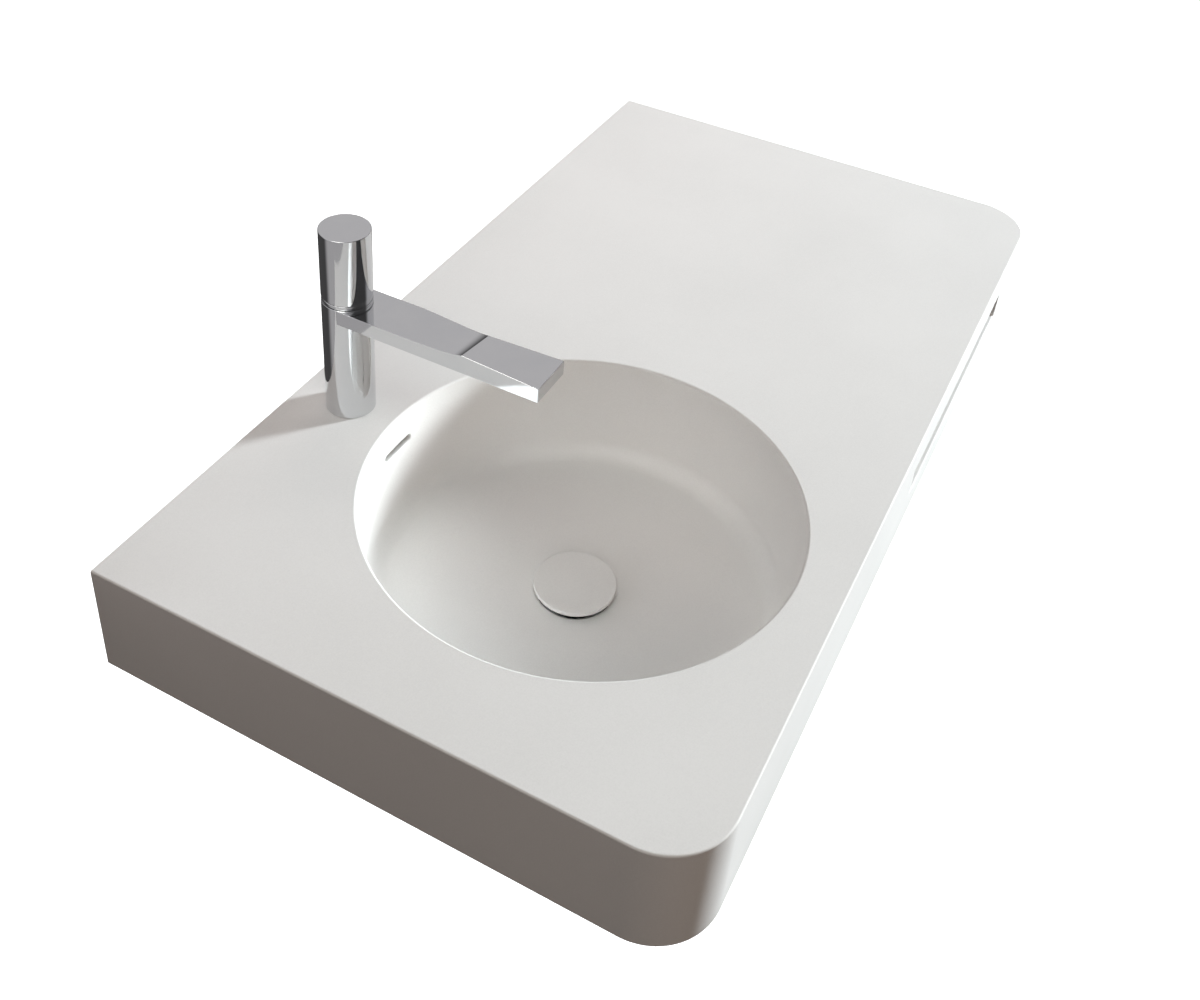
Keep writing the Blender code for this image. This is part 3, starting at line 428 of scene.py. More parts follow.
def easing(radius: float, steps: int) -> list[Pair]:
    """List how the rounded edge of an opening or a tip runs from one face to the next.

    Args:
        radius: the rounding's radius.
        steps: how many chords it has.

    Returns:
        For each point, how far it lies from the first face and how far from the second.
    """
    turns = [math.radians(90 * step / steps) for step in range(steps + 1)]
    return [(radius * (1 - math.cos(turn)), radius * (1 - math.sin(turn))) for turn in turns]


def eased(outline: Outline, radius: float, steps: int = 3) -> Outline:
    """Round the corners of an outline.

    Args:
        outline: the points in order.
        radius: how far the rounding reaches from each corner along its sides.
        steps: how many chords each rounding has.

    Returns:
        The closed outline with its corners rounded. Corners on the turning axis stay.
    """
    result: Outline = []
    count = len(outline)
    for index, corner in enumerate(outline):
        before, after = outline[index - 1], outline[(index + 1) % count]
        here = Vector(corner)
        back, ahead = Vector(before) - here, Vector(after) - here
        if (corner[0] == 0 or back.length == 0 or ahead.length == 0
                or abs(back.normalized().cross(ahead.normalized())) < LEAST_TURN):
            result.append(corner)
            continue
        reach = min(radius, back.length * SIDE_SHARE, ahead.length * SIDE_SHARE)
        first, last = here + back.normalized() * reach, here + ahead.normalized() * reach
        for step in range(steps + 1):
            t = step / steps
            point = first * (1 - t) ** 2 + here * (2 * t * (1 - t)) + last * t ** 2
            result.append((point.x, point.y))
    return result


def lathe(name: str, profile: Outline, centre: Pair, facets: int) -> bpy.types.Object:
    """Turn a closed (radius, height) outline about a vertical axis.

    Args:
        name: the piece's name.
        profile: the closed outline, with heights in the model's frame.
        centre: the axis in plan.
        facets: how many facets go round.

    Returns:
        The turned object.
    """
    points: list[Point] = []
    faces: list[list[int]] = []
    count = len(profile)
    for step in range(facets):
        angle = math.tau * step / facets
        for radius, height in profile:
            points.append((centre[0] + radius * math.cos(angle),
                           centre[1] + radius * math.sin(angle), height))
    for step in range(facets):
        base, after = step * count, (step + 1) % facets * count
        for index in range(count):
            upper = (index + 1) % count
            if profile[index][0] == 0 and profile[upper][0] == 0:
                continue
            corners = [base + index, after + index, after + upper, base + upper]
            if profile[index][0] == 0:
                corners = [base + index, after + upper, base + upper]
            elif profile[upper][0] == 0:
                corners = [base + index, after + index, base + upper]
            faces.append(corners)
    return make_object(name, points, faces)


def loft(name: str, loops: Sequence[Loop],
         sharp_degrees: float = SHARP_DEGREES) -> bpy.types.Object:
    """Skin loops of equal length one after another and close both ends.

    Args:
        name: the piece's name.
        loops: the loops in order.
        sharp_degrees: the angle above which an edge is shaded sharp.

    Returns:
        The closed object.
    """
    count = len(loops[0])
    points = [point for loop in loops for point in loop]
    faces: list[list[int]] = [list(range(count)), [len(points) - 1 - i for i in range(count)]]
    for level in range(len(loops) - 1):
        base = level * count
        for index in range(count):
            after = (index + 1) % count
            faces.append([base + index, base + after, base + count + after, base + count + index])
    return make_object(name, points, faces, sharp_degrees)


def carve(thing: bpy.types.Object, tools: Sequence[bpy.types.Object],
          operation: str = "DIFFERENCE") -> None:
    """Cut or join closed tools with an object and take the tools away.

    Args:
        thing: the object to change.
        tools: the closed objects that cut or join it.
        operation: the Boolean operation's name in Blender.
    """
    for tool in tools:
        step = thing.modifiers.new(tool.name, "BOOLEAN")
        step.operation = operation
        step.solver = "EXACT"
        step.object = tool
        while thing.modifiers.find(step.name) > 0:
            thing.modifiers.move(thing.modifiers.find(step.name), 0)
    for modifier in thing.modifiers:
        modifier.show_viewport = modifier.type == "BOOLEAN"
    graph = bpy.context.evaluated_depsgraph_get()
    graph.update()
    solid = bpy.data.meshes.new_from_object(thing.evaluated_get(graph))
    for modifier in list(thing.modifiers):
        if modifier.type == "BOOLEAN":
            thing.modifiers.remove(modifier)
        else:
            modifier.show_viewport = True
    old = thing.data
    thing.data = solid
    bpy.data.meshes.remove(old)
    for tool in tools:
        data = tool.data
        bpy.data.objects.remove(tool)
        bpy.data.meshes.remove(data)


def dress(piece: bpy.types.Object, finish: Finish, slot: Slot, body: Body,
          *nodes: str) -> None:
    """Give a new piece its finish and its body, and let it stand for CAD nodes.

    Args:
        piece: the finished object, in place.
        finish: the finish, whose make method gives the material.
        slot: the record's slot for this finish; not used.
        body: the body that the piece rides on.
        *nodes: the CAD nodes that it stands for.
    """
    piece.data.materials.clear()
    piece.data.materials.append(finish.make("finish_" + piece.name))
    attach(piece, body.value)
    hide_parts(*nodes)
    LOG.info("piece %s on %s for %s", piece.name, body.value, ", ".join(nodes))


def coat(finish: Finish, *nodes: str) -> None:
    """Give CAD nodes that stay a finish in place of their plain one.

    Args:
        finish: the finish, whose make method gives the material.
        *nodes: the CAD nodes.
    """
    for node in nodes:
        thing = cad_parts[node]
        thing.data.materials.clear()
        thing.data.materials.append(finish.make("finish_" + node))
        LOG.info("node %s coated", node)


def round_of(node: str) -> tuple[Pair, float, float, float]:
    """Measure an upright round CAD node.

    Args:
        node: the node's name.

    Returns:
        Its axis in plan, its radius, and the heights of its foot and top.
    """
    low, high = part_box(node)
    centre = ((low[0] + high[0]) / 2, (low[1] + high[1]) / 2)
    return centre, (high[0] - low[0]) / 2, low[2], high[2]


# Slab


@dataclass
class Slab:
    """The seamless slab: deck, bowl and aprons in one skin, and the rail along the wall."""

    length: float = 0.900
    depth: float = 0.486
    height: float = 0.100
    corner_radius: float = 0.052
    edge_radius: float = 0.0015
    foot_radius: float = 0.0010
    deck_thickness: float = 0.012
    apron_thickness: float = 0.016
    slot_length: float = 0.316
    slot_height: float = 0.027
    slot_drop: float = 0.037
    slot_end_margin: float = 0.112
    slot_corner: float = 0.0015
    slot_overrun: float = 0.003
    bowl_x: float = -0.196
    bowl_y: float = -0.2705
    bowl_radius: float = 0.1775
    bowl_depth: float = 0.103
    bowl_wall: float = 0.010
    wall_taper: float = 4.0
    floor_fall: float = 1.2
    fillet: float = 0.018
    rim_radius: float = 0.0022
    flange_width: float = 0.012
    flange_thickness: float = 0.008
    recess_radius: float = 0.032
    recess_depth: float = 0.0042
    recess_edge: float = 0.0006
    waste_radius: float = 0.023
    seat_radius: float = 0.045
    tap_y: float = -0.0486
    tap_hole_radius: float = 0.0165
    overflow_length: float = 0.038
    overflow_height: float = 0.0065
    overflow_drop: float = 0.029
    overflow_ease: float = 0.0012
    overflow_overrun: float = 0.002
    rail_edge: float = 0.0012
    rail_end_edge: float = 0.0006
    corner_steps: int = 28
    bowl_facets: int = 256
    tap_hole_facets: int = 96

    @property
    def top(self) -> float:
        """Return the deck's level."""
        return self.height / 2

    def plan(self, inset: float) -> Outline:
        """List the outer edge in plan from the wall on the left round to the wall on the right.

        Args:
            inset: how far the edge lies inside the outer face.

        Returns:
            The points in order.
        """
        reach = self.length / 2 - self.corner_radius
        level = self.corner_radius - self.depth
        radius = self.corner_radius - inset
        left = arc((-reach, level), radius, 180, 270, self.corner_steps)
        right = arc((reach, level), radius, 270, 360, self.corner_steps)
        side = self.length / 2 - inset
        return [(-side, 0.0)] + left + right + [(side, 0.0)]

    def edge_rows(self) -> list[Pair]:
        """List the section down the outer face, under the apron and up its inner face.

        Returns:
            Each point's inset from the outer face and its height.
        """
        top, bottom = self.top, self.top - self.height
        under, foot = self.top - self.deck_thickness, self.foot_radius
        outer = arc((self.edge_radius, top - self.edge_radius), self.edge_radius, 90, 180, 5)
        low = arc((foot, bottom + foot), foot, 180, 270, 3)
        inner = arc((self.apron_thickness - foot, bottom + foot), foot, 270, 360, 3)
        return outer + low + inner + [(self.apron_thickness, under)]

    def fillet_arc(self, offset: float, steps: int) -> Outline:
        """List the fillet between the bowl's wall and floor as (radius, height).

        Args:
            offset: how far outwards the section is moved.
            steps: how many chords it has.

        Returns:
            The points from the wall to the floor.
        """
        taper, fall = math.radians(self.wall_taper), math.radians(self.floor_fall)
        lean, drop = math.tan(taper), math.tan(fall)
        across = self.bowl_radius - self.fillet / math.cos(taper)
        rise = self.fillet / math.cos(fall) - self.bowl_depth - self.recess_radius * drop
        centre_r = (across + lean * rise) / (1 - lean * drop)
        centre = (centre_r, self.top + rise + drop * centre_r)
        return arc(centre, self.fillet + offset, -self.wall_taper, self.floor_fall - 90, steps)

    def wall_at(self, level: float, offset: float = 0.0) -> float:
        """Return the radius of the bowl's leaning wall at a level, moved outwards."""
        taper = math.radians(self.wall_taper)
        return (self.bowl_radius - (self.top - level) * math.tan(taper)
                + offset / math.cos(taper))

    def bowl_section(self) -> Outline:
        """List the bowl's section from the deck's top round to the deck's underside.

        Returns:
            Each point's radius and height.
        """
        floor = self.top - self.bowl_depth
        level = self.top - self.rim_radius
        rim = arc((self.wall_at(level) + self.rim_radius, level), self.rim_radius, 90, 180, 6)
        inside = rim + self.fillet_arc(0, 24)
        recess, hole = self.recess_radius, self.waste_radius
        seat, underside = floor - self.recess_depth, floor - self.bowl_wall
        edge = self.recess_edge
        inside += [(recess + edge, floor), (recess, floor - edge), (recess, seat), (hole, seat),
                   (hole, underside), (self.seat_radius, underside)]
        outer = [p for p in self.fillet_arc(self.bowl_wall, 20) if p[1] > underside][::-1]
        flange_bottom = self.top - self.deck_thickness - self.flange_thickness
        flange = self.wall_at(flange_bottom, self.flange_width)
        under = self.top - self.deck_thickness
        outer += [(self.wall_at(flange_bottom, self.bowl_wall), flange_bottom),
                  (flange, flange_bottom), (flange, under)]
        return inside + outer

    def new_ring(self, form: bmesh.types.BMesh, centre_y: float, radius: float, level: float,
                 facets: int) -> list[bmesh.types.BMVert]:
        """Add a ring of vertices centred on the X that the bowl and the tap share.

        Args:
            form: the mesh that takes the ring.
            centre_y: the ring's centre along Y.
            radius: its radius.
            level: its height.
            facets: how many vertices it has.

        Returns:
            The vertices in order.
        """
        angles = [math.tau * step / facets for step in range(facets)]
        return [form.verts.new((self.bowl_x + radius * math.cos(angle),
                                centre_y + radius * math.sin(angle), level)) for angle in angles]

    def bridge(self, form: bmesh.types.BMesh, rings: Sequence[Sequence[bmesh.types.BMVert]],
               closed: bool = True) -> None:
        """Join rows or rings of vertices one after another with faces.

        Args:
            form: the mesh that takes the faces.
            rings: the rows or rings in order, of equal length.
            closed: whether they are rings.
        """
        for upper, lower in zip(rings, rings[1:]):
            count = len(upper)
            for step in range(count if closed else count - 1):
                after = (step + 1) % count
                form.faces.new((upper[step], upper[after], lower[after], lower[step]))

    def ring_edges(self, form: bmesh.types.BMesh,
                   ring: Sequence[bmesh.types.BMVert]) -> list[bmesh.types.BMEdge]:
        """Return the edges that join a ring of vertices, made where they are missing."""
        pairs = list(zip(ring, list(ring[1:]) + [ring[0]]))
        return [form.edges.get(pair) or form.edges.new(pair) for pair in pairs]

    def build_skin(self) -> bpy.types.Object:
        """Build the seamless skin with its bowl, before the slots are cut.

        Returns:
            The skin.
        """
        form = bmesh.new()
        rows = [[form.verts.new((x, y, z)) for x, y in self.plan(inset)]
                for inset, z in self.edge_rows()]
        self.bridge(form, rows, closed=False)
        rings = [self.new_ring(form, self.bowl_y, radius, z, self.bowl_facets)
                 for radius, z in self.bowl_section()]
        self.bridge(form, rings)
        tap_rings = [self.new_ring(form, self.tap_y, self.tap_hole_radius, z,
                                   self.tap_hole_facets)
                     for z in (self.top, self.top - self.deck_thickness)]
        self.bridge(form, tap_rings)
        for level in (0, -1):
            edges = [edge for ring in (rows[level], rings[level], tap_rings[level])
                     for edge in self.ring_edges(form, ring)]
            bmesh.ops.triangle_fill(form, edges=edges, use_beauty=True, use_dissolve=False)
        form.faces.new([row[0] for row in rows] + [row[-1] for row in rows[::-1]])
        bmesh.ops.recalc_face_normals(form, faces=form.faces)
        mesh = bpy.data.meshes.new("slab_skin")
        form.to_mesh(mesh)
        form.free()
        return place_mesh("slab_skin", mesh, SHARP_DEGREES)

    def front_slot_tool(self) -> bpy.types.Object:
        """Make the closed tool for the front slot, flared so that both mouths are eased.

        Returns:
            The tool.
        """
        right = self.length / 2 - self.slot_end_margin
        middle_x = right - self.slot_length / 2
        middle_z = self.top - self.slot_drop - self.slot_height / 2
        front, back = -self.depth, self.apron_thickness - self.depth
        ease = self.edge_radius

        def mouth(y: float, grow: float) -> Loop:
            """List the slot's rounded outline.

            Args:
                y: the outline's place between front and back.
                grow: how far it is grown all round.

            Returns:
                The closed loop.
            """
            half_x = self.slot_length / 2 + grow - self.slot_corner
            half_z = self.slot_height / 2 + grow - self.slot_corner
            loop: Loop = []
            for sx, sz, start in ((1, 1, 0), (-1, 1, 90), (-1, -1, 180), (1, -1, 270)):
                corner = arc((middle_x + sx * half_x, middle_z + sz * half_z),
                             self.slot_corner, start, start + 90, 4)
                loop += [(x, y, z) for x, z in corner]
            return loop

        rounding = easing(ease, 5)
        loops = [mouth(front - self.slot_overrun, ease)]
        loops += [mouth(front + behind, grow) for behind, grow in rounding]
        loops += [mouth(back - behind, grow) for behind, grow in rounding[::-1]]
        loops.append(mouth(back + self.slot_overrun, ease))
        return loft("front_slot", loops)

    def overflow_tool(self) -> bpy.types.Object:
        """Make the closed tool for the overflow slot, which follows the bowl's wall.

        Returns:
            The tool.
        """
        level = self.top - self.overflow_drop
        reach = (self.overflow_length - self.overflow_height) / 2
        radius = self.overflow_height / 2

        def opening(depth: float, grow: float) -> Loop:
            """List the slot's outline.

            Args:
                depth: how far it lies behind the bowl's wall.
                grow: how far it is grown all round.

            Returns:
                The closed loop.
            """
            outline = arc((reach, level), radius + grow, -90, 90, 10)
            outline += arc((-reach, level), radius + grow, 90, 270, 10)
            loop: Loop = []
            for x, z in outline:
                wall = self.wall_at(z, depth)
                loop.append((self.bowl_x + x, self.bowl_y + math.sqrt(wall ** 2 - x ** 2), z))
            return loop

        ease, overrun = self.overflow_ease, self.overflow_overrun
        loops = [opening(-overrun, ease)]
        loops += [opening(behind, grow) for behind, grow in easing(ease, 4)]
        loops.append(opening(self.bowl_wall + overrun, 0.0))
        return loft("overflow_slot", loops)

    def build_rail(self) -> bpy.types.Object:
        """Build the rail along the wall with eased edges.

        Returns:
            The rail.
        """
        low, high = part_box("rear_rail")
        outline = eased([(low[1], low[2]), (high[1], low[2]), (high[1], high[2]),
                         (low[1], high[2])], self.rail_edge)
        ease = self.rail_end_edge
        inner = [(y + (ease if y < (low[1] + high[1]) / 2 else -ease),
                  z + (ease if z < (low[2] + high[2]) / 2 else -ease)) for y, z in outline]
        ends = ((low[0], inner), (low[0] + ease, outline),
                (high[0] - ease, outline), (high[0], inner))
        loops = [[(x, y, z) for y, z in ring] for x, ring in ends]
        return loft("rail_along_wall", loops)

    def build(self) -> None:
        """Build and dress the skin and the rail."""
        skin = self.build_skin()
        carve(skin, [self.front_slot_tool(), self.overflow_tool()])
        skin.data.set_sharp_from_angle(angle=math.radians(SHARP_DEGREES))
        dress(skin, SOLID_SURFACE, Slot.WHITE, Body.BASIN,
              "deck", "bowl", "front_apron", "left_apron", "right_apron")
        dress(self.build_rail(), SOLID_SURFACE, Slot.WHITE, Body.BASIN, "rear_rail")


# Tap


@dataclass
class ColumnTap:
    """The column with its flat spout, the outlet in the spout and the valve in the column."""

    deck_level: float = 0.05
    diameter: float = 0.042
    column_top: float = 0.1105
    column_edge: float = 0.0004
    column_sharp_degrees: float = 25.0
    spout_reach: float = 0.187
    spout_width: float = 0.0412
    spout_thickness: float = 0.013
    spout_underside: float = 0.097
    spout_edge: float = 0.00035
    spout_sharp_degrees: float = 20.0
    root_steps: int = 15
    sweep_steps: int = 48
    tip_steps: int = 8
    sweep_start: float = 0.060
    sweep_powers: Pair = (1.1, 1.8)
    ridge_reach: float = 0.120
    ridge_rise: float = 0.0040
    ridge_dip: float = 0.0030
    ridge_tolerance: float = 0.00001
    scoop_length: float = 0.016
    scoop_depth: float = 0.0030
    aerator_setback: float = 0.016
    aerator_pocket: float = 0.0088
    outlet_clearance: float = 0.0003
    outlet_edge: float = 0.0004
    outlet_overrun: float = 0.003
    column_facets: int = 192
    outlet_facets: int = 64

    def top_edges(self, reach: float) -> Pair:
        """Return how far the spout's top stands above its level at its left and right edges.

        Before the ridge the top sweeps up on the left and down on the right, and it is scooped
        out so that it curls up to the ridge. Beyond the ridge it runs back to level at the tip.

        Args:
            reach: the distance from the column's axis.

        Returns:
            The heights of the left and the right edge above the top's level.
        """
        before = self.ridge_reach - reach
        if before < 0:
            share = 1 + before / (self.spout_reach - self.ridge_reach)
            return (self.ridge_rise * share, -self.ridge_dip * share)
        share = max(0.0, 1 - before / (self.ridge_reach - self.sweep_start))
        scoop = self.scoop_depth * (1 - math.exp(-before / self.scoop_length)) * share
        left, right = (share ** power for power in self.sweep_powers)
        return (self.ridge_rise * left - scoop, -self.ridge_dip * right - scoop)

    def section(self, centre: Pair, reach: float, inset: float) -> Loop:
        """List one section across the spout.

        Args:
            centre: the column's axis in plan.
            reach: the section's distance from the column's axis.
            inset: how far the section is drawn in all round, for the eased tip.

        Returns:
            The closed loop with its four corners eased.
        """
        half = self.spout_width / 2 - inset
        low = self.deck_level + self.spout_underside + inset
        left, right = self.top_edges(reach)
        level = low + self.spout_thickness - 2 * inset
        corners = [(-half, low), (half, low), (half, level + right), (-half, level + left)]
        return [(centre[0] + x, centre[1] - reach, z) for x, z in eased(corners, self.spout_edge)]

    def build_body(self) -> bpy.types.Object:
        """Build the column and the spout in one casting.

        Returns:
            The casting.
        """
        centre = round_of("trim_ring")[0]
        radius, foot = self.diameter / 2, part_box("tap_body")[0][2]
        top = self.deck_level + self.column_top
        profile = eased([(0.0, foot), (radius, foot), (radius, top), (0.0, top)],
                        self.column_edge)
        body = lathe("tap_column_and_spout", profile, centre, self.column_facets)
        reaches = (spread(0.0, self.sweep_start, self.root_steps)
                   + spread(self.sweep_start, self.ridge_reach, self.sweep_steps)
                   + spread(self.ridge_reach, self.spout_reach, self.tip_steps)[:-1])
        loops = [self.section(centre, reach, 0.0) for reach in reaches]
        loops += [self.section(centre, self.spout_reach - short, inset)
                  for inset, short in easing(self.spout_edge, 3)]
        spout = loft("spout", loops, self.spout_sharp_degrees)
        carve(body, [spout], "UNION")
        carve(body, [self.outlet_tool(centre)])
        body.data.set_sharp_from_angle(angle=math.radians(self.column_sharp_degrees))
        self.crease_ridge(body.data, centre[1] - self.ridge_reach)
        return body

    def outlet_tool(self, centre: Pair) -> bpy.types.Object:
        """Make the closed tool for the outlet's pocket under the spout.

        Args:
            centre: the column's axis in plan.

        Returns:
            The tool.
        """
        low = self.deck_level + self.spout_underside
        reach = round_of("aerator_housing")[1] + self.outlet_clearance
        mouth, start = reach + self.outlet_edge, low - self.outlet_overrun
        end = low + self.aerator_pocket
        pocket = [(0.0, start), (mouth, start), (mouth, low), (reach, low + self.outlet_edge),
                  (reach, end), (0.0, end)]
        outlet = (centre[0], centre[1] - self.spout_reach + self.aerator_setback)
        return lathe("outlet_pocket", pocket, outlet, self.outlet_facets)

    def crease_ridge(self, mesh: bpy.types.Mesh, level: float) -> None:
        """Shade the edges that run along the ridge sharp.

        Args:
            mesh: the casting's mesh.
            level: the ridge's place along Y.
        """
        for edge in mesh.edges:
            ends = [mesh.vertices[end].co.y for end in edge.vertices]
            if all(abs(end - level) < self.ridge_tolerance for end in ends):
                edge.use_edge_sharp = True

    def build(self) -> None:
        """Build and dress the tap's fixed pieces."""
        dress(self.build_body(), CHROME, Slot.CHROME, Body.BASIN, "tap_body")
        coat(ACETAL, "aerator_housing", "cartridge_housing")
        coat(STAINLESS, "aerator_screen")
        coat(BRASS, "cartridge_nut", "cartridge_stem")
        coat(NITRILE_RUBBER, "cartridge_seal")
        coat(LAPPED_ALUMINA, "disc_fixed", "disc_turning")


@dataclass
class TurningHandle:
    """The handle on top of the column and the trim ring below it."""

    edge: float = 0.0006
    wall: float = 0.004
    crown: float = 0.006
    boss_radius: float = 0.009
    boss_rise: float = 0.004
    socket_radius: float = 0.0048
    socket_level: float = 0.1973
    screw_bore_radius: float = 0.0023
    screw_bore_start: float = 0.002
    screw_bore_overrun: float = 0.004
    sharp_degrees: float = 35.0
    ring_bore_radius: float = 0.0155
    ring_edge: float = 0.0010
    facets: int = 192

    def build_handle(self) -> bpy.types.Object:
        """Build the handle's hollow shell with its screw hole.

        Returns:
            The handle.
        """
        centre = round_of("trim_ring")[0]
        _, radius, low, high = round_of("tap_handle")
        cup, boss, socket = radius - self.wall, self.boss_radius, self.socket_radius
        crown, boss_foot, ceiling = high - self.crown, low + self.boss_rise, self.socket_level
        corners = [(cup, low), (radius, low), (radius, high), (0.0, high),
                   (0.0, ceiling), (socket, ceiling), (socket, boss_foot),
                   (boss, boss_foot), (boss, crown), (cup, crown)]
        handle = lathe("turning_handle", eased(corners, self.edge, 4), centre, self.facets)
        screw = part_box("handle_grub_screw")
        level = (screw[0][2] + screw[1][2]) / 2
        circle = arc((0, 0), self.screw_bore_radius, 0, 350, 35)
        bore = [[(centre[0] + x, centre[1] + y, level + z) for x, z in circle]
                for y in (self.screw_bore_start, radius + self.screw_bore_overrun)]
        carve(handle, [loft("screw_bore", bore)])
        handle.data.set_sharp_from_angle(angle=math.radians(self.sharp_degrees))
        return handle

    def build_ring(self) -> bpy.types.Object:
        """Build the trim ring with its rounded edges.

        Returns:
            The ring.
        """
        centre, outer, low, high = round_of("trim_ring")
        corners = [(self.ring_bore_radius, low), (outer, low), (outer, high),
                   (self.ring_bore_radius, high)]
        outline = eased(corners, self.ring_edge, 5)
        return lathe("handle_trim_ring", outline, centre, self.facets)

    def build(self) -> None:
        """Build and dress the handle and the ring."""
        dress(self.build_handle(), CHROME, Slot.CHROME, Body.HANDLE, "tap_handle")
        dress(self.build_ring(), CHROME, Slot.CHROME, Body.BASIN, "trim_ring")
        coat(ZINC, "handle_grub_screw")


# Waste


@dataclass
class WasteAndPlug:
    """The waste fitting through the bowl's floor and the plug that slides in it."""

    cap_edge: float = 0.0009
    cap_socket_radius: float = 0.015
    cap_socket_depth: float = 0.0015
    cap_facets: int = 128

    def build_cap(self) -> bpy.types.Object:
        """Build the plug's cap with its eased edge.

        Returns:
            The cap.
        """
        centre, radius, low, high = round_of("plug_cap")
        socket, ceiling = self.cap_socket_radius, low + self.cap_socket_depth
        corners = [(0.0, ceiling), (socket, ceiling), (socket, low), (radius, low),
                   (radius, high), (0.0, high)]
        return lathe("plug_cap_disc", eased(corners, self.cap_edge, 4), centre, self.cap_facets)

    def build(self) -> None:
        """Build and dress the waste's pieces."""
        dress(self.build_cap(), SOLID_SURFACE, Slot.WHITE, Body.PLUG, "plug_cap")
        coat(CHROME, "waste_body", "waste_backnut")
        coat(NITRILE_RUBBER, "waste_seal_upper", "waste_seal_lower", "plug_seal")
        coat(BRASS, "plug_carrier", "plug_stem")
        coat(ACETAL, "plug_barrel")
        coat(SOLID_SURFACE, "overflow_duct")


# Fixings


@dataclass
class Fixings:
    """The brackets with their screws, and what holds the tap from below."""

    screw_places: tuple[str, ...] = ("left_rear", "left_front", "right_rear", "right_front")

    def build(self) -> None:
        """Dress the fixings."""
        coat(ZINC, "wall_bracket_left", "wall_bracket_right", "tap_stud", "clamp_plate",
             "clamp_nut", *["bracket_screw_" + place for place in self.screw_places])
        coat(BRASS, "hot_inlet", "cold_inlet",
             *["bracket_insert_" + place for place in self.screw_places])
        coat(NITRILE_RUBBER, "tap_gasket", "clamp_rubber")


# Studio

# The point of the basin that most lights face
CENTRE = (-0.1, -0.25, 0.05)


@dataclass(frozen=True)
class SoftBox:
    """One rectangular soft light: its name, place, target, size, watts, sRGB colour and reach."""

    name: str
    place: Point
    target: Point
    size: Pair
    power: float
    colour: str
    reach: Reach = Reach.SOFT

    def build(self) -> None:
        """Add the light to the scene, where the camera doesn't see it."""
        light = bpy.data.lights.new(self.name, "AREA")
        light.shape = "RECTANGLE"
        light.size, light.size_y = self.size
        light.energy = self.power
        light.color = linear(self.colour)[:3]
        lamp = bpy.data.objects.new(self.name, light)
        lamp.location = self.place
        aim = Vector(self.target) - Vector(self.place)
        lamp.rotation_euler = aim.to_track_quat("-Z", "Y").to_euler()
        lamp.visible_camera = False
        lamp.visible_diffuse = self.reach is Reach.SOFT
        lamp.visible_glossy = self.reach is Reach.GLEAM
        bpy.context.scene.collection.objects.link(lamp)


SOFT_BOXES = (
    SoftBox("key", (2.99, -2.71, 0.94), CENTRE, (0.50, 0.72), 262.0, "#F4FCFF"),
    SoftBox("key_above", (2.90, -2.63, 1.37), CENTRE, (0.50, 0.54), 43.0, "#F5FAFF"),
    SoftBox("key_gleam", (2.99, -2.71, 0.94), CENTRE, (0.50, 0.72), 20.0, "#F4FCFF", Reach.GLEAM),
    SoftBox("upper_left", (-1.387, 0.14, 2.30), CENTRE, (1.6, 1.2), 20.5, "#FFFEF6", Reach.GLEAM),
    SoftBox("front_fill", (0.395, -5.15, 0.75), CENTRE, (2.6, 1.6), 22.0, "#FFE2CC"),
    SoftBox("front_gleam", (0.395, -5.15, 0.75), CENTRE, (2.6, 1.6), 21.0, "#F4F8FF", Reach.GLEAM),
    SoftBox("left_fill", (-2.6, 0.30, 0.90), CENTRE, (1.4, 1.0), 2.8, "#FFE6D5"),
    SoftBox("near_left", (-1.8, -1.6, 1.6), CENTRE, (1.4, 1.0), 10.2, "#FFEFE5"),
    SoftBox("over_bowl", (-0.55, -0.30, 1.30), (-0.1, -0.27, -0.02), (0.5, 0.5), 2.5, "#F4FFFC"),
    SoftBox("far_end", (0.55, 0.05, 1.00), (0.35, -0.05, 0.05), (0.6, 0.6), 1.6, "#FFF2EA"),
    SoftBox("wall_bounce", (0.0, 0.03, 0.50), (0.0, -1.0, 0.35), (1.6, 0.8), 1.3, "#FFF0F2"),
    SoftBox("behind", (0.0, 2.2, -0.15), (0.0, 0.0, -0.03), (0.8, 0.2), 22.0, "#FFF8F2"),
    SoftBox("below", (0.0, -0.25, -1.2), (0.0, -0.25, 0.0), (0.7, 0.35), 5.0, "#FFF8F2"))


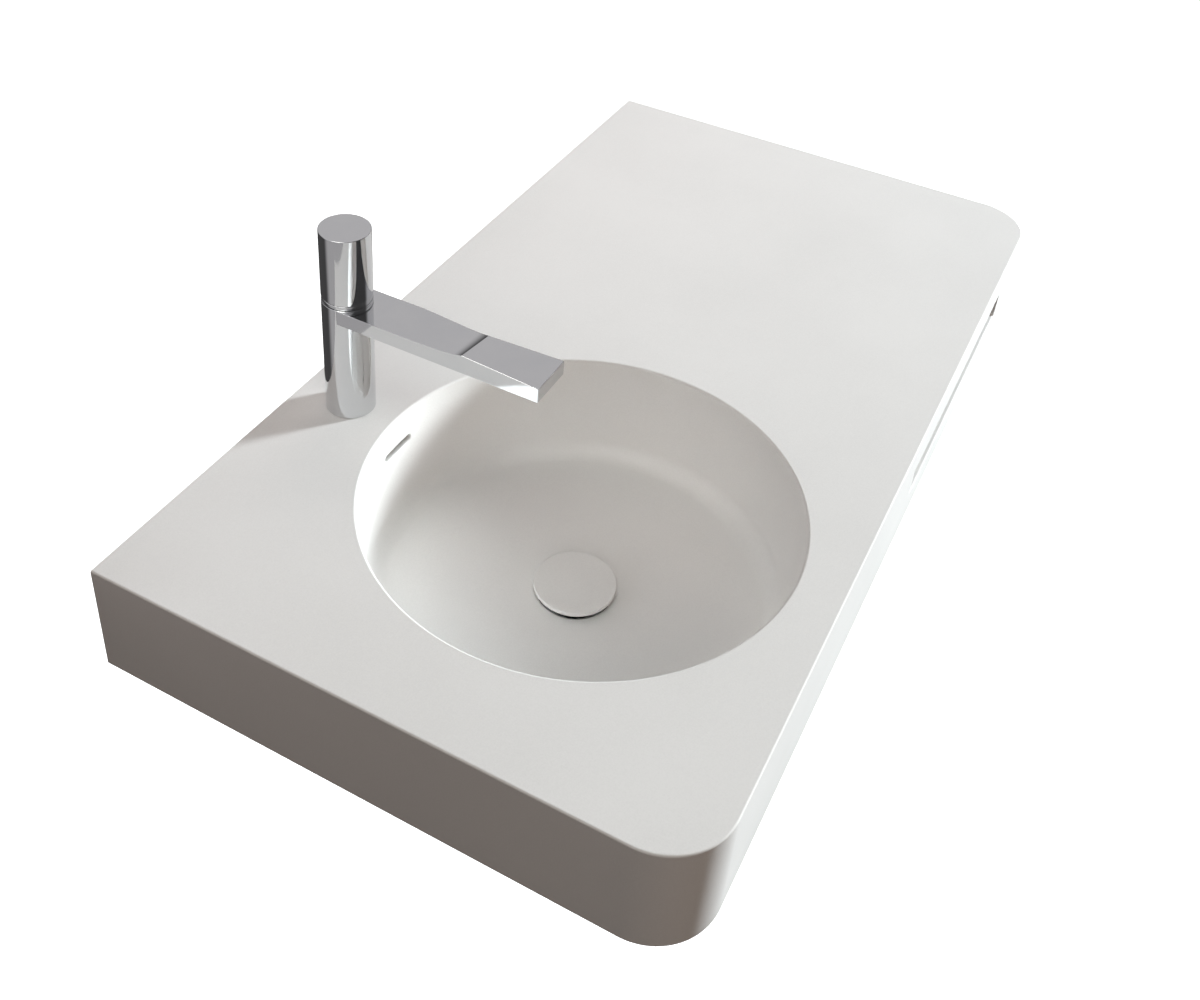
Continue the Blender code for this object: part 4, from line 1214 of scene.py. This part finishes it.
@dataclass
class Studio:
    """The floor with its backdrop, the surroundings, the lights and the camera."""

    floor_level: float = -1.60
    floor_reach: float = 8.0
    floor_facets: int = 48
    backdrop_radius: float = 3.0
    dome_degrees: float = 89.5
    floor_tone: str = "#F4F4F3"
    floor_roughness: float = 0.9
    glow_centre: Point = (2.3, 1.1, -1.6)
    glow_radii: Pair = (4.1, 6.0)
    far_glow: float = 0.64
    pale_sides: tuple[tuple[str, float, float, float], ...] = (
        ("Z", 0.17, 0.34, 0.54), ("Y", -0.55, -0.20, 1.0),
        ("X", 0.40, 0.65, 1.0), ("X", -0.36, -0.64, 0.39))
    least_gleam: float = 0.07
    gleam_tone: str = "#F8F5F6"
    sensor_mm: float = 36.0
    camera_place: Point = (-0.91916, -0.58816, 0.79860)
    camera_turn: Point = (55.5129, -3.3595, -61.9287)
    focal_mm: float = 40.7766
    shift_x: float = 0.0312
    shift_y: float = -0.1833
    clip: Pair = (0.05, 60.0)

    def build_floor(self) -> None:
        """Make the pale floor and the domed backdrop, which aren't part of the object."""
        reach, radius, level = self.floor_reach, self.backdrop_radius, self.floor_level
        section = [(0.0, level), (reach, level)]
        section += arc((reach, level + radius), radius, -90, 0, 12)[1:]
        section += arc((0.0, level + radius), reach + radius, 0, self.dome_degrees, 18)[1:]
        section.append((0.0, level + reach + 2 * radius))
        floor = lathe("floor", section, (0.0, 0.0), self.floor_facets)
        material, tree = blank_material("pale_floor")
        place = add_node(tree, "ShaderNodeTexCoord").outputs["Object"]
        # The floor and backdrop glow with painted light: full near glow_centre, fading to far_glow
        # beyond the glow radii
        away = add_node(tree, "ShaderNodeVectorMath", {0: place, 1: self.glow_centre},
                        operation="DISTANCE")
        glow = add_node(tree, "ShaderNodeMapRange", {
            "Value": away.outputs["Value"], "From Min": self.glow_radii[0],
            "From Max": self.glow_radii[1], "To Min": 1.0, "To Max": self.far_glow},
            interpolation_type="SMOOTHSTEP")
        shader = add_node(tree, "ShaderNodeBsdfPrincipled", {
            "Base Color": linear(self.floor_tone), "Roughness": self.floor_roughness,
            "Emission Color": linear("#FFFFFF"), "Emission Strength": glow.outputs[0]})
        add_node(tree, "ShaderNodeOutputMaterial", {"Surface": shader.outputs["BSDF"]})
        floor.data.materials.append(material)
        floor.visible_diffuse = False
        floor.visible_glossy = False
        floor.visible_shadow = False

    def build_world(self) -> None:
        """Make the surroundings that the plating mirrors.

        They are pale on the left, and above where that is behind the basin or on its right, and
        nearly dark elsewhere. Each pale side has its axis, where it starts and is full along it,
        and its strength.
        """
        world = bpy.data.worlds.new("surroundings")
        world.use_nodes = True
        tree = world.node_tree
        tree.nodes.clear()
        way = add_node(tree, "ShaderNodeTexCoord").outputs["Generated"]
        parts = add_node(tree, "ShaderNodeSeparateXYZ", {0: way})
        above, behind, right, left = [add_node(tree, "ShaderNodeMapRange", {
            "Value": parts.outputs[axis], "From Min": start, "From Max": full,
            "To Max": strength}, interpolation_type="SMOOTHSTEP").outputs[0]
            for axis, start, full, strength in self.pale_sides]
        around = add_node(tree, "ShaderNodeMath", {0: behind, 1: right}, operation="MAXIMUM")
        lit = add_node(tree, "ShaderNodeMath", {
            0: above, 1: around.outputs[0], 2: self.least_gleam}, operation="MULTIPLY_ADD")
        total = add_node(tree, "ShaderNodeMath", {0: lit.outputs[0], 1: left}, operation="ADD")
        back = add_node(tree, "ShaderNodeBackground", {
            "Color": linear(self.gleam_tone), "Strength": total.outputs[0]})
        add_node(tree, "ShaderNodeOutputWorld", {"Surface": back.outputs[0]})
        bpy.context.scene.world = world
        world.cycles_visibility.diffuse = False

    def build_camera(self) -> None:
        """Make the camera, which looks at the basin from above its left end."""
        data = bpy.data.cameras.new("camera")
        data.sensor_width = self.sensor_mm
        data.lens = self.focal_mm
        data.shift_x, data.shift_y = self.shift_x, self.shift_y
        data.clip_start, data.clip_end = self.clip
        camera = bpy.data.objects.new("camera", data)
        bpy.context.scene.collection.objects.link(camera)
        camera.location = self.camera_place
        camera.rotation_euler = [math.radians(angle) for angle in self.camera_turn]
        bpy.context.scene.camera = camera

    def build(self) -> None:
        """Build the studio."""
        self.build_camera()
        self.build_floor()
        self.build_world()
        for box in SOFT_BOXES:
            box.build()
        bpy.context.scene.view_settings.view_transform = "Standard"


def main() -> None:
    """Build the studio and the object."""
    logging.basicConfig(level=logging.INFO, format="%(name)s %(message)s")
    Studio().build()
    Slab().build()
    ColumnTap().build()
    TurningHandle().build()
    WasteAndPlug().build()
    Fixings().build()


if __name__ == "__main__":
    main()
